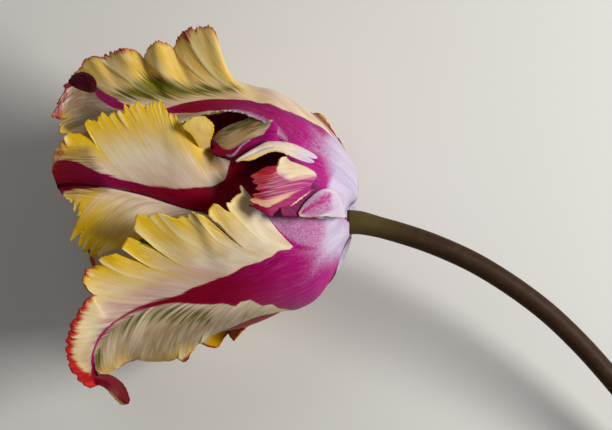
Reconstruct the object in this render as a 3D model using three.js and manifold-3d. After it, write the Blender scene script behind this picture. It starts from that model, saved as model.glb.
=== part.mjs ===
// Parrot tulip, one cut flower lying on a flat surface. Millimetres, +Z up.
// The bloom's axis lies along X at AXIS_HEIGHT: its tips point to -X and its stem leaves it to +X.
// Six tepals in two whorls of three, six stamens, a pistil and the stem are one closed solid each.
import * as THREE from 'three';
import Module from 'manifold-3d';

const wasm = await Module();
wasm.setup();

// ---- driving dimensions ----
const AXIS_HEIGHT = 39.5;
const CENTRE = [17.5, -49.5];
const BLADE = 0.7;
const STEM_RADIUS = 3.35;
const RECEPTACLE_RADIUS = 3.9;
const RECEPTACLE_FACE = 0.9;
const SEAT_GAP = 0.3;

// ---- cups: the curve that each whorl's tepals follow, as [step, distance along the axis, radius] ----
const CUP_UPPER = [
  [0, 0.5, 4.6], [3, -2, 10], [6, -1.5, 16.5], [9, 1.5, 22.5], [13, 8, 31], [17, 14, 36], [22, 22, 41],
  [30, 30, 43], [40, 40, 44], [60, 60, 44], [80, 80, 46], [95, 95, 49],
];
const CUP_LOWER = [
  [0, 0.5, 4.6], [3, 0.2, 9], [6, 2.2, 14.5], [9, 5.7, 19.5], [13, 11, 25.2], [17, 16.2, 29.5],
  [22, 22, 33], [32, 32, 36.5], [48, 48, 39], [62, 62, 41.5], [72, 72, 44.5], [80, 80, 47.5],
  [90, 90, 51], [100, 100, 54],
];
const CUP_BACK = [
  [0, 0.5, 4.7], [3, -3.2, 10], [6, -2.8, 17], [9, 0.3, 23.7], [13, 7, 32.3], [17, 13.2, 37.3],
  [22, 21, 40.2], [30, 30, 40.6], [45, 45, 40.6], [60, 60, 40.6], [78, 78, 42], [90, 90, 46],
];
const CUP_FRONT = [
  [0, 1.6, 3.4], [3, 2.2, 7.5], [6, 4.6, 12.5], [9, 8, 17], [13, 12.8, 22.3], [17, 17.5, 26],
  [22, 22.5, 29], [32, 32, 32.5], [48, 48, 35], [65, 65, 36.5], [80, 80, 38.5], [97, 97, 41],
];
const CUP_INNER = [
  [0, 1.6, 3.4], [3, 1.8, 7.5], [6, 3.6, 12.5], [9, 6.5, 17], [13, 11.5, 23.3], [17, 16.5, 28],
  [22, 22.5, 31.5], [32, 32, 33.5], [48, 48, 35], [65, 65, 35.5], [80, 80, 36.5], [97, 97, 39],
];

// ---- tepals: guides from base to tip, as [u, step, bearing, lift off the cup] ----
// Bearings are in degrees round the axis, 0 straight up and 90 towards +Y.
const UPPER_OUTER = {
  cup: CUP_UPPER,
  mid: [
    [0, 0, 50, 0], [0.05, 4, 49, 0], [0.1, 8.5, 47, 0], [0.18, 14.5, 46, 0], [0.22, 17.5, 50, 0],
    [0.275, 20, 53, 0], [0.34, 25, 54.5, 0], [0.41, 31.5, 56.5, 0], [0.49, 39.5, 57.5, 0],
    [0.57, 47.5, 56, 0], [0.665, 57, 54.5, 0], [0.755, 66.5, 56, 0], [0.82, 72.5, 58, 0],
    [0.87, 77, 62.5, 0], [0.92, 80, 70.5, 0], [0.96, 83.5, 76, 0], [1, 88, 69, 0],
  ],
  plus: [
    [0, 0, 107, 0], [0.05, 4, 107, 0], [0.1, 9, 107, 0], [0.16, 14, 107, 0], [0.22, 20, 106, 0],
    [0.28, 28, 103, 0], [0.33, 34, 98, 0.5], [0.36, 38, 82.5, 2.5], [0.385, 41, 78, 9.5],
    [0.41, 43, 77, 18], [0.45, 47.5, 78, 19], [0.49, 51.5, 79, 18], [0.52, 54.5, 79.5, 15.5],
    [0.545, 56, 80, 13], [0.57, 58, 79, 13.5], [0.6, 60.5, 77, 14.5], [0.64, 63.5, 77.5, 12.5],
    [0.665, 65, 80, 8.5], [0.69, 67, 78.5, 9.5], [0.725, 71.5, 76.5, 11], [0.755, 75.5, 77.5, 9.5],
    [0.775, 78.5, 78, 7.5], [0.8, 81.5, 77, 7.5], [0.83, 84, 77, 6], [0.86, 86, 75, 3],
    [0.91, 87, 72.5, 2], [1, 89, 66.5, 0],
  ],
  minus: [
    [0, 0, 8, 0], [0.03, 3, 8, 0.5], [0.08, 12, 3, 1], [0.12, 15.5, 4, 1], [0.18, 19.5, 9.5, 1],
    [0.22, 21, 17.5, 1], [0.26, 21, 27.5, 0.5], [0.3, 20.5, 36.5, 0], [0.34, 27, 45.5, 0],
    [0.41, 35.5, 51.5, 0.5], [0.49, 45, 50, 0], [0.57, 56, 44.5, -1], [0.665, 69, 38, -2.5],
    [0.755, 78, 36, -3], [0.82, 85, 37.5, -2.5], [0.87, 90, 42, -1.5], [0.93, 91, 50, -0.5],
    [1, 90, 58.5, 0],
  ],
  flare: { plus: [[0, 1], [0.3, 1.1], [0.36, 2], [0.41, 2.6], [0.6, 2.4], [0.8, 2], [1, 1]] },
  teeth: [
    { side: 1, from: 0.39, to: 0.66, count: 6, height: 1.2 },
    { side: 1, from: 0.7, to: 0.98, count: 9, height: 1.6 },
    { side: -1, from: 0.7, to: 1, count: 9, height: 3 },
  ],
  lobes: [
    { // flap folded in behind the margin
      mid: [[0, 18.5, 42, 0], [0.2, 22, 41.5, -1], [0.45, 29, 43, -2], [0.7, 36.5, 41.5, -2.5],
        [0.88, 40.5, 38, -3], [1, 42.5, 33, -3]],
      plus: [[0, 18.5, 44.5, 0], [0.2, 22, 45, -1], [0.45, 29, 50, -2], [0.7, 35.5, 49.5, -2.5],
        [0.88, 40.5, 43.5, -3], [1, 43, 36, -3]],
      minus: [[0, 18.5, 39.5, 0], [0.2, 22, 38, -1], [0.45, 29, 37, -2], [0.7, 35.5, 33.5, -2.5],
        [0.88, 39.5, 31, -3], [1, 41.5, 29.5, -3]],
    },
    { // narrow curled band
      mid: [[0, 12, 36.5, 0], [0.2, 16, 34.5, 0.5], [0.45, 20, 33.5, 1], [0.7, 25.5, 32, 1],
        [0.88, 32, 29.5, 1], [1, 35.5, 25.5, 1]],
      plus: [[0, 12, 39.5, 0], [0.2, 16, 38, 0.5], [0.45, 20, 37, 1], [0.7, 25.5, 34.5, 1],
        [0.88, 32, 32, 1], [1, 36, 26.5, 1]],
      minus: [[0, 12, 34, 0], [0.2, 15.5, 32, 0.5], [0.45, 19.5, 31, 1], [0.7, 25, 30, 1],
        [0.88, 31, 27, 1], [1, 34.5, 25, 1]],
    },
    { // broad ragged lobe
      mid: [[0, 11.5, 32, 0], [0.2, 14.5, 24.5, 1], [0.42, 19, 20.5, 2], [0.6, 21.5, 18.5, 2],
        [0.78, 25, 16.5, 2.5], [0.9, 27.5, 15, 2.5], [1, 29.5, 14, 2.5]],
      plus: [[0, 11.5, 36, 0], [0.2, 14.5, 31, 1], [0.42, 18, 31, 2], [0.6, 21, 31, 2.5],
        [0.78, 23, 25, 2.5], [0.9, 26, 22.5, 2.5], [1, 29, 21.5, 2.5]],
      minus: [[0, 11.5, 28.5, 0], [0.2, 14.5, 21, 1], [0.42, 18, 14, 2], [0.6, 21, 10, 2],
        [0.78, 24, 7.5, 2.5], [0.9, 28, 6.5, 2.5], [1, 30.5, 7.5, 2.5]],
    },
    { // small lobe next to the base
      mid: [[0, 8.5, 13.5, 0], [0.25, 11, 12, 1], [0.5, 13.5, 10, 2], [0.75, 16, 7.5, 2.5],
        [1, 18, 5, 2]],
      plus: [[0, 8.5, 20.5, 0], [0.25, 11, 21, 1], [0.5, 13.5, 18.5, 2], [0.75, 16.5, 13, 2.5],
        [1, 18.5, 6, 2]],
      minus: [[0, 8.5, 5, 0], [0.25, 11, 3.5, 1], [0.5, 13.5, 3, 2], [0.75, 16, 2.5, 2.5],
        [1, 18.5, 3, 2]],
    },
  ],
};

const LOWER_OUTER = {
  cup: CUP_LOWER,
  mid: [
    [0, 0, -38, 0], [0.05, 3.5, -31, 0], [0.1, 8.5, -25, 0], [0.17, 13, -25, 0], [0.24, 18, -27.5, 0],
    [0.31, 25, -30, 0], [0.37, 31.5, -32, 0], [0.44, 39.5, -35, 0], [0.51, 47.5, -37.5, 0],
    [0.58, 55, -39, 0], [0.65, 63, -40, 0], [0.72, 69.5, -41.5, 1.5], [0.79, 75, -44.5, 3.5],
    [0.85, 78.5, -48.5, 5.5], [0.9, 80.5, -53, 7], [0.95, 80, -58.5, 8], [1, 79, -64, 9.5],
  ],
  plus: [
    [0, 0, -3, 0], [0.04, 5.5, 0, 0], [0.1, 12, 1, 0], [0.17, 21, 4, 1.5], [0.21, 27.5, 9, 2],
    [0.24, 33.5, 15, 4.5], [0.27, 35, 12, 5.5], [0.31, 37.5, 8.5, 6], [0.335, 40, 6.5, 6.5],
    [0.36, 43, 7, 7], [0.39, 45, 2.5, 6.5], [0.42, 47.5, 2.5, 7], [0.44, 50.5, 4, 6.5],
    [0.47, 55.5, 2, 6], [0.51, 61.5, 3, 5.5], [0.55, 66, 1.5, 4.5], [0.58, 67.5, -4.5, 3],
    [0.61, 70.5, -7, 2.5], [0.65, 74, -12, 2], [0.69, 78.5, -14.5, 0.5], [0.72, 81.5, -17.5, 0],
    [0.755, 83, -22, 1], [0.79, 80.5, -27.5, 2], [0.83, 84, -32.5, 3], [0.87, 86.5, -39, 5.5],
    [0.91, 88, -45, 7.5], [0.95, 86, -52.5, 10], [1, 81.5, -60, 12],
  ],
  minus: [
    [0, 0, -98, 0], [0.05, 4, -98, 0], [0.1, 8, -98, 0], [0.15, 12.5, -96, -0.5], [0.2, 17, -88, -2],
    [0.25, 21, -78, -3.5], [0.31, 26, -72, -4], [0.37, 30.5, -71, -4], [0.44, 35.5, -71, -3],
    [0.51, 43, -72, -1], [0.58, 48.5, -73, 2], [0.65, 54, -73, 5], [0.72, 60.5, -71, 5],
    [0.79, 67.5, -66.5, 4], [0.85, 72.5, -64, 5.5], [0.9, 76.5, -62, 7.5], [1, 78, -63.5, 9.5],
  ],
  flare: {
    plus: [[0, 1], [0.2, 1.2], [0.3, 1.8], [0.7, 1.8], [0.8, 1.3], [1, 1]],
    minus: [[0, 1], [0.3, 1], [0.5, 1.3], [0.8, 1.3], [1, 1]],
  },
  belly: { minus: [[0, 0], [0.3, 0], [0.5, 2], [0.8, 2], [1, 0]] },
  teeth: [
    { side: 1, from: 0.24, to: 0.52, count: 8, height: 2.2 },
    { side: 1, from: 0.55, to: 0.78, count: 7, height: 2.4 },
    { side: 1, from: 0.78, to: 1, count: 8, height: 2 },
    { side: -1, from: 0.45, to: 0.9, count: 11, height: 1.2 },
  ],
  lobes: [
    { // tongue curled under the tip
      mid: [[0, 80.5, -58.5, 9.5], [0.25, 76.5, -62.5, 10], [0.5, 74, -65.5, 12.5],
        [0.75, 72, -67, 15], [1, 70.5, -68, 17.5]],
      plus: [[0, 80.5, -57.5, 8.5], [0.25, 76, -62.5, 8], [0.5, 72.5, -66.5, 10],
        [0.75, 70.5, -68.5, 13], [1, 69.5, -69, 17]],
      minus: [[0, 80.5, -60, 10.5], [0.25, 77.5, -63.5, 11.5], [0.5, 75.5, -65, 13.5],
        [0.75, 73.5, -67, 16], [1, 71.5, -68.5, 18]],
    },
  ],
};

const FRONT_INNER = {
  cup: CUP_FRONT,
  mid: [
    [0, 0, -2, 0], [0.05, 4, -2, 0], [0.12, 9, -1, 0], [0.2, 15, 1, 0], [0.28, 23.5, 1.5, 0],
    [0.36, 32, 2.5, 0], [0.44, 39.5, 4, 0], [0.52, 46, 6, 0], [0.6, 53, 8, 0], [0.68, 59.5, 11, 0],
    [0.76, 67, 14.5, 0], [0.83, 73.5, 16.5, 0], [0.89, 80, 17, 0], [0.95, 86, 17, 0],
    [1, 91.5, 16, 0],
  ],
  plus: [
    [0, 0, 40, 0], [0.05, 4, 38, 0], [0.12, 9, 35, 0], [0.2, 15.5, 30, 0], [0.28, 22.5, 32.5, 0],
    [0.36, 33, 34, 0], [0.42, 39.5, 35.5, 0], [0.48, 45.5, 34, 5], [0.53, 51, 38.5, 10.5],
    [0.58, 56.5, 42, 14], [0.64, 60.5, 45, 16.5], [0.7, 66.5, 44, 16], [0.76, 74, 41.5, 14],
    [0.83, 82, 38, 11], [0.89, 88, 33, 7.5], [0.95, 91.5, 28.5, 5.5], [1, 93, 21.5, 2.5],
  ],
  minus: [
    [0, 0, -42, 0], [0.05, 4, -40, 0], [0.12, 9, -36, 0], [0.2, 14, -30, 0], [0.28, 27.5, -23.5, 0],
    [0.36, 35.5, -23, 0], [0.44, 43, -23, 0], [0.52, 51.5, -23, 0], [0.6, 59.5, -22, 0],
    [0.68, 67.5, -19.5, 0], [0.76, 74.5, -17, -1], [0.83, 81, -12, -2], [0.89, 85.5, -4, -2],
    [0.95, 86.5, 5.5, -1.5], [1, 89.5, 12, 0],
  ],
  flare: { plus: [[0, 1], [0.4, 1.2], [0.5, 1.8], [0.8, 1.8], [1, 1]] },
  belly: {
    plus: [[0, 0], [0.4, 0], [0.55, 1], [0.85, 0.6], [1, 0]],
    minus: [[0, 0], [0.4, 0], [0.55, 1], [0.85, 0.6], [1, 0]],
  },
  crease: [[0, 0], [0.35, 0], [0.45, 1.5], [0.6, 2.6], [0.85, 2.4], [1, 1]],
  teeth: [
    { side: 1, from: 0.52, to: 0.72, count: 7, height: 4 },
    { side: 1, from: 0.72, to: 1, count: 9, height: 4.5 },
    { side: -1, from: 0.7, to: 1, count: 9, height: 4.5 },
  ],
  lobes: [
    { // curl at the end of the fringe
      mid: [[0, 45, 34.5, 2], [0.25, 45.5, 35, 8.5], [0.5, 46.5, 36.5, 12.5], [0.75, 47, 38, 14.5],
        [1, 47, 40.5, 16]],
      plus: [[0, 43.5, 35, 2], [0.25, 44, 35.5, 8], [0.5, 43, 37, 11.5], [0.75, 43, 39, 14],
        [1, 45.5, 40.5, 16]],
      minus: [[0, 47, 33.5, 2.5], [0.25, 48, 34, 8.5], [0.5, 50, 35.5, 12], [0.75, 52.5, 37, 14],
        [1, 49.5, 39.5, 16]],
    },
  ],
};

const BACK_OUTER = {
  cup: CUP_BACK,
  mid: [
    [0, 0, 181, 0], [0.05, 4, 181, 0], [0.12, 9, 181, 0], [0.25, 22, 181, 0], [0.4, 35, 181, 0],
    [0.55, 47.5, 180, 0], [0.7, 60, 179, 0], [0.82, 70.5, 178, 0], [0.92, 79, 177, 0.5],
    [1, 86, 177, 1.5],
  ],
  plus: [
    [0, 0, 232, 0], [0.05, 8, 248, -11.5], [0.12, 11.5, 251, -8.5], [0.18, 15, 246, -8.5],
    [0.25, 21, 243, -8], [0.4, 33, 251, -2], [0.47, 39, 256, 0.5], [0.55, 46, 252, 0.5],
    [0.7, 58.5, 243, 2], [0.82, 69.5, 231, 3], [0.92, 80, 213, 3], [1, 86, 191, 2],
  ],
  minus: [
    [0, 0, 128, 0], [0.04, 3, 106, 0.2], [0.08, 6, 100, 0.2], [0.12, 10, 96, 0.4],
    [0.16, 13.5, 96, 0.6], [0.19, 17, 112, 0], [0.25, 21, 116, 0], [0.4, 33, 114, 0.5],
    [0.55, 46, 115, 1.5], [0.7, 58.5, 121, 2], [0.82, 69.5, 132, 3], [0.92, 80, 148, 3],
    [1, 86, 168, 2],
  ],
  flare: {
    plus: [[0, 1], [0.3, 1], [0.5, 2], [1, 2]],
    minus: [[0, 1], [0.3, 1], [0.5, 2], [1, 2]],
  },
  waves: [
    { side: 1, size: 1.6, count: 4, shift: 0.2, from: 0.45 },
    { side: -1, size: 1.6, count: 4.5, shift: 0.6, from: 0.45 },
  ],
  teeth: [
    { side: 1, from: 0.28, to: 1, count: 17, height: 2.6 },
    { side: -1, from: 0.24, to: 1, count: 18, height: 2.6 },
  ],
  lobes: [],
};

const UPPER_INNER = {
  cup: CUP_INNER,
  mid: [
    [0, 0, 128, 0], [0.05, 4, 128, 0], [0.12, 9, 128, 0], [0.25, 22, 128, 0], [0.4, 35.5, 128, 0],
    [0.55, 48.5, 128, 0], [0.7, 61.5, 127, 0], [0.82, 72, 126, 0], [0.92, 81, 126, 0],
    [1, 88, 126, 0],
  ],
  plus: [
    [0, 0, 162, 0], [0.05, 4, 164, 0], [0.12, 9, 169, 0], [0.25, 20, 180, 0], [0.4, 33, 183, 0.5],
    [0.55, 46, 183, 1], [0.7, 60, 178.5, 1], [0.82, 71.5, 169, 1], [0.92, 82, 155.5, 1],
    [1, 88, 138, 0.5],
  ],
  minus: [
    [0, 0, 94, 0], [0.05, 4, 92, 0], [0.12, 9, 87, 0], [0.25, 20, 76, 0], [0.4, 33, 73, 1],
    [0.55, 46, 73, 2], [0.7, 60, 77.5, 2], [0.82, 71.5, 87, 1.5], [0.92, 82, 100.5, 1],
    [1, 88, 118, 0.5],
  ],
  flare: {
    plus: [[0, 1], [0.3, 1], [0.5, 2], [1, 2]],
    minus: [[0, 1], [0.3, 1], [0.5, 2], [1, 2]],
  },
  waves: [
    { side: 1, size: 1, count: 4, shift: 0, from: 0.45 },
    { side: -1, size: 1.4, count: 4.5, shift: 0.3, from: 0.45 },
  ],
  teeth: [
    { side: 1, from: 0.3, to: 1, count: 16, height: 3 },
    { side: -1, from: 0.3, to: 1, count: 16, height: 3 },
  ],
  lobes: [],
};

const LOWER_INNER = {
  cup: CUP_FRONT,
  mid: [
    [0, 0, -108, 0], [0.05, 4, -108, 0], [0.12, 9, -108, 0], [0.25, 22, -108, 0.5],
    [0.4, 36.5, -108, 1], [0.55, 49.5, -107, 0], [0.7, 63, -106, 0], [0.82, 74, -105, 0],
    [0.92, 83, -104, 0], [1, 90, -103, 0],
  ],
  plus: [
    [0, 0, -72, 0], [0.05, 4, -70.5, 0], [0.12, 9, -64.5, 0], [0.25, 20, -53, -2],
    [0.4, 33.5, -48, -2], [0.55, 47, -46, -1], [0.7, 61, -46, -1], [0.82, 73, -52, -1],
    [0.92, 83.5, -66, -1], [1, 90, -91, -0.5],
  ],
  minus: [
    [0, 0, -144, 0], [0.05, 4, -145.5, 0], [0.12, 9, -151.5, 0], [0.25, 20, -163, 0],
    [0.4, 33.5, -166, 0], [0.55, 47, -166, 0], [0.7, 61, -161.5, 0], [0.82, 73, -151.5, 0],
    [0.92, 83.5, -137, 0], [1, 90, -115, 0],
  ],
  flare: {
    plus: [[0, 1], [0.3, 1], [0.5, 2], [1, 2]],
    minus: [[0, 1], [0.3, 1], [0.5, 2], [1, 2]],
  },
  waves: [
    { side: 1, size: 0.8, count: 4, shift: 0.5, from: 0.45 },
    { side: -1, size: 1.2, count: 4.5, shift: 0.1, from: 0.45 },
  ],
  teeth: [
    { side: 1, from: 0.3, to: 1, count: 16, height: 3 },
    { side: -1, from: 0.3, to: 1, count: 16, height: 3 },
  ],
  lobes: [],
};

// ---- stem: its centre line as [x, y, height], from the receptacle to the cut end ----
const STEM_LINE = [
  [-RECEPTACLE_FACE, 0, AXIS_HEIGHT], [3, -0.2, AXIS_HEIGHT], [8, -1.3, 39.2], [16, -3.5, 38.5],
  [24, -6.1, 37.6], [32, -9.3, 36.4], [40, -13.1, 35], [48, -17.8, 33.4], [56, -23.2, 31.4],
  [64, -29.4, 29.2], [72, -36.8, 26.6], [80, -45.2, 23.8], [92, -59.5, 19.4], [103, -75.5, 14.8],
  [112, -92.5, 10.6], [118.5, -110, 7.2], [122.5, -128, 4.8], [124.5, -146, STEM_RADIUS],
  [125, -162, STEM_RADIUS],
];
const STEM_RINGS = 44;
const STEM_SIDES = 14;

// ---- pistil: [distance along the axis, radius, depth of its three lobes] ----
const PISTIL = [
  [RECEPTACLE_FACE + SEAT_GAP, 2.1, 0], [2.6, 2.3, 0.02], [5, 2.8, 0.06], [9, 3.3, 0.08],
  [14, 3.5, 0.08], [19, 3.1, 0.08], [22, 2.6, 0.1], [23.2, 3.6, 0.3], [24.4, 4.6, 0.38],
  [25.4, 4.4, 0.4], [25.8, 2.6, 0.4],
];
const PISTIL_SIDES = 24;

// ---- stamens: [distance along the axis, distance from it, radius] ----
const STAMEN = [
  [2.5, 3.75, 0.8], [5, 4.4, 0.75], [9, 5.2, 0.65], [13, 5.9, 0.55], [15.2, 6.4, 0.45],
  [15.9, 6.6, 1.1], [17.5, 6.9, 1.5], [20.5, 7.2, 1.6], [23.5, 7.4, 1.4], [26, 7.4, 1],
  [27.2, 7.3, 0.4],
];
const STAMENS = 6;
const STAMEN_SIDES = 8;
const STAMEN_TURN = 15;

// ---- blade meshing: rows from midrib to margin, each as [v, multiple of the blade's columns] ----
const ROWS = [[0, 1], [0.27, 1], [0.5, 1], [0.7, 2], [0.87, 2], [1, 4]];
const LOBE_ROWS = [[0, 1], [0.55, 1], [1, 1]];
const VISIBLE_COLUMNS = 28;
const HIDDEN_COLUMNS = 22;
const LOBE_COLUMNS = 9;

const DEG = Math.PI / 180;
const clamp01 = (x) => Math.min(Math.max(x, 0), 1);
const ease = (x) => clamp01(x) ** 2 * (3 - 2 * clamp01(x));

// Value of a table of rows [x, values...] at x: a smooth curve through the rows.
function lookup(rows, x) {
  let i = 0;
  while (i < rows.length - 2 && x >= rows[i + 1][0]) i += 1;
  const slope = (k, c) => {
    const rise = (n) => (rows[n + 1][c] - rows[n][c]) / (rows[n + 1][0] - rows[n][0]);
    if (k === 0) return rise(0);
    if (k === rows.length - 1) return rise(k - 1);
    const before = rows[k][0] - rows[k - 1][0];
    const after = rows[k + 1][0] - rows[k][0];
    return (rise(k - 1) * after + rise(k) * before) / (before + after);
  };
  const span = rows[i + 1][0] - rows[i][0];
  const raw = (x - rows[i][0]) / span;
  const t = clamp01(raw);
  return rows[i].slice(1).map((first, c) => {
    const s0 = slope(i, c + 1);
    const s1 = slope(i + 1, c + 1);
    const last = rows[i + 1][c + 1];
    const body = (2 * t ** 3 - 3 * t ** 2 + 1) * first + (t ** 3 - 2 * t ** 2 + t) * span * s0
      + (3 * t ** 2 - 2 * t ** 3) * last + (t ** 3 - t ** 2) * span * s1;
    return body + (raw - t) * span * (raw > t ? s1 : s0);
  });
}

// How far the fringe carries the margin past its guide, in mm.
function fringe(shape, u, side) {
  let reach = 0;
  for (const [k, run] of (shape.teeth ?? []).entries()) {
    if (run.side !== side) continue;
    const shown = ease((u - run.from) / 0.02) * ease((run.to - u) / 0.02);
    const part = (u - run.from) / (run.to - run.from);
    const turn = part * run.count + 0.3 * Math.sin((9 * u * run.count) / 5 + k);
    const tooth = Math.floor(turn);
    const size = 0.65 + 0.35 * Math.sin(tooth * 2.4 + k * 1.7);
    reach += run.height * shown * (size * Math.sin(Math.PI * (turn - tooth)) - 0.4);
  }
  return reach;
}

// A point of the blade's middle surface: u runs from base to tip and w from the midrib past either margin.
function onBlade(shape, u, w) {
  const side = w < 0 ? 'minus' : 'plus';
  const part = Math.abs(w);
  const [stepMid, bearingMid, liftMid] = lookup(shape.mid, u);
  const [stepEdge, bearingEdge, liftEdge] = lookup(shape[side], u);
  const power = shape.flare?.[side] ? lookup(shape.flare[side], u)[0] : 1;
  const belly = shape.belly?.[side] ? lookup(shape.belly[side], u)[0] : 0;
  let lift = liftMid + (liftEdge - liftMid) * part ** power + belly * 4 * part * (1 - Math.min(part, 1));
  if (shape.crease) lift -= lookup(shape.crease, u)[0] * Math.exp(-((part / 0.13) ** 2));
  for (const wave of shape.waves ?? []) {
    if ((wave.side < 0) !== (w < 0)) continue;
    const shown = ease((part - wave.from) / (1 - wave.from)) * ease((u - 0.12) / 0.15);
    lift += wave.size * shown * Math.sin(2 * Math.PI * (wave.count * u + wave.shift));
  }
  const [along, radius] = lookup(shape.cup, stepMid + (stepEdge - stepMid) * part);
  const bearing = (bearingMid + (bearingEdge - bearingMid) * part) * DEG;
  const out = radius + lift;
  return new THREE.Vector3(-along, out * Math.sin(bearing), AXIS_HEIGHT + out * Math.cos(bearing));
}

// The w that the row v reaches at u, once the fringe has moved the margin.
function reachAt(shape, u, v) {
  const side = v < 0 ? -1 : 1;
  const width = Math.max(onBlade(shape, u, 0).distanceTo(onBlade(shape, u, side)), 3);
  return v * (1 + (fringe(shape, u, side) / width) * ease((Math.abs(v) - 0.3) / 0.7));
}

// The two faces' points over one point of the middle surface, the outer one held on or above the floor.
function facesAt(shape, u, w) {
  const step = 0.004;
  const centre = onBlade(shape, u, w);
  const du = onBlade(shape, u + step, w).sub(onBlade(shape, u - step, w));
  const side = w < 0 ? -1 : 1;
  const dw = onBlade(shape, u, w + side * 0.02).sub(onBlade(shape, u, w - side * 0.02));
  dw.multiplyScalar(side);
  const normal = du.cross(dw).normalize();
  const away = new THREE.Vector3(0, centre.y, centre.z - AXIS_HEIGHT);
  if (normal.dot(away) < 0) normal.negate();
  const outer = centre.clone().addScaledVector(normal, BLADE / 2);
  const inner = centre.clone().addScaledVector(normal, -BLADE / 2);
  outer.z = Math.max(outer.z, 0);
  inner.z = Math.max(inner.z, BLADE);
  return [outer, inner];
}

// Triangles between two rows of points, the second with as many columns as the first or twice as many.
function strip(triangles, first, second) {
  const double = second.length > first.length;
  for (let i = 0; i < first.length - 1; i += 1) {
    if (double) {
      triangles.push([first[i], second[2 * i], second[2 * i + 1]]);
      triangles.push([first[i], second[2 * i + 1], first[i + 1]]);
      triangles.push([first[i + 1], second[2 * i + 1], second[2 * i + 2]]);
    } else {
      triangles.push([first[i], second[i], second[i + 1]]);
      triangles.push([first[i], second[i + 1], first[i + 1]]);
    }
  }
}

// Closed solid of one blade: both faces cut into the same triangles, joined along the whole margin.
function bladeSolid(shape, rows, columns) {
  const points = [];
  const sheets = [1, -1].map((side) => rows.map(([v, multiple]) => {
    const count = columns * multiple;
    return Array.from({ length: count + 1 }, (_, i) => {
      const u = i / count;
      points.push(facesAt(shape, u, reachAt(shape, u, side * v)));
      return points.length - 1;
    });
  }));
  sheets[1][0] = sheets[0][0];
  const half = sheets.map((sheet) => {
    const triangles = [];
    for (let k = 0; k < sheet.length - 1; k += 1) strip(triangles, sheet[k], sheet[k + 1]);
    return triangles;
  });
  const outerFace = [...half[0], ...half[1].map(([a, b, c]) => [a, c, b])];
  const [plus, minus] = sheets;
  const last = plus.length - 1;
  const loop = [
    ...plus[last],
    ...plus.slice(0, last).reverse().map((row) => row[row.length - 1]),
    ...minus.slice(1).map((row) => row[row.length - 1]),
    ...minus[last].slice(0, -1).reverse(),
    ...minus.slice(0, last).reverse().map((row) => row[0]),
    ...plus.slice(1, last).map((row) => row[0]),
  ];
  const position = points.flatMap(([outer, inner]) => [...outer.toArray(), ...inner.toArray()]);
  const index = outerFace.flatMap(([a, b, c]) => [2 * a, 2 * b, 2 * c, 2 * a + 1, 2 * c + 1, 2 * b + 1]);
  for (let i = 0; i < loop.length; i += 1) {
    const a = loop[i];
    const b = loop[(i + 1) % loop.length];
    index.push(2 * a, 2 * b + 1, 2 * b, 2 * a, 2 * a + 1, 2 * b + 1);
  }
  return toManifold(position, index);
}

// Manifold solid of a closed triangle list, turned to face out.
function toManifold(position, index) {
  const build = (order) => new wasm.Manifold(new wasm.Mesh({
    numProp: 3,
    vertProperties: new Float32Array(position),
    triVerts: new Uint32Array(order),
  }));
  const solid = build(index);
  if (solid.volume() > 0) return solid;
  const turned = [];
  for (let i = 0; i < index.length; i += 3) turned.push(index[i], index[i + 2], index[i + 1]);
  return build(turned);
}

// Named mesh of a manifold solid in the part's frame.
function meshOf(name, solid, finish) {
  const { vertProperties, triVerts, numProp } = solid.getMesh();
  const position = [];
  for (let i = 0; i < vertProperties.length; i += numProp) {
    position.push(vertProperties[i] - CENTRE[0], vertProperties[i + 1] - CENTRE[1], vertProperties[i + 2]);
  }
  const geometry = new THREE.BufferGeometry();
  geometry.setAttribute('position', new THREE.Float32BufferAttribute(position, 3));
  geometry.setIndex([...triVerts]);
  geometry.computeVertexNormals();
  const mesh = new THREE.Mesh(geometry, new THREE.MeshStandardMaterial(finish));
  mesh.name = name;
  return mesh;
}

// A tepal: its blade and the lobes that grow from it, fused.
function tepal(name, shape, columns, color) {
  const blade = bladeSolid(shape, ROWS, columns);
  const lobes = shape.lobes.map((lobe) => bladeSolid({ cup: shape.cup, ...lobe }, LOBE_ROWS, LOBE_COLUMNS));
  const solid = lobes.reduce((sum, lobe) => sum.add(lobe), blade);
  return meshOf(name, solid, { color, roughness: 0.6, metalness: 0 });
}

// Closed tube through rings of points, each ring a list of points, with flat fans at its ends.
function ringSolid(rings) {
  const sides = rings[0].length;
  const position = rings.flat().flatMap((p) => p.toArray());
  const ends = [rings[0], rings[rings.length - 1]].map((ring) => {
    const centre = ring.reduce((sum, p) => sum.add(p), new THREE.Vector3()).divideScalar(sides);
    position.push(...centre.toArray());
    return position.length / 3 - 1;
  });
  const index = [];
  const lastRing = (rings.length - 1) * sides;
  for (let j = 0; j < sides; j += 1) {
    const next = (j + 1) % sides;
    for (let i = 0; i < rings.length - 1; i += 1) {
      const a = i * sides;
      const b = a + sides;
      index.push(a + j, a + next, b + next, a + j, b + next, b + j);
    }
    index.push(ends[0], next, j, ends[1], lastRing + j, lastRing + next);
  }
  return toManifold(position, index);
}

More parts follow.
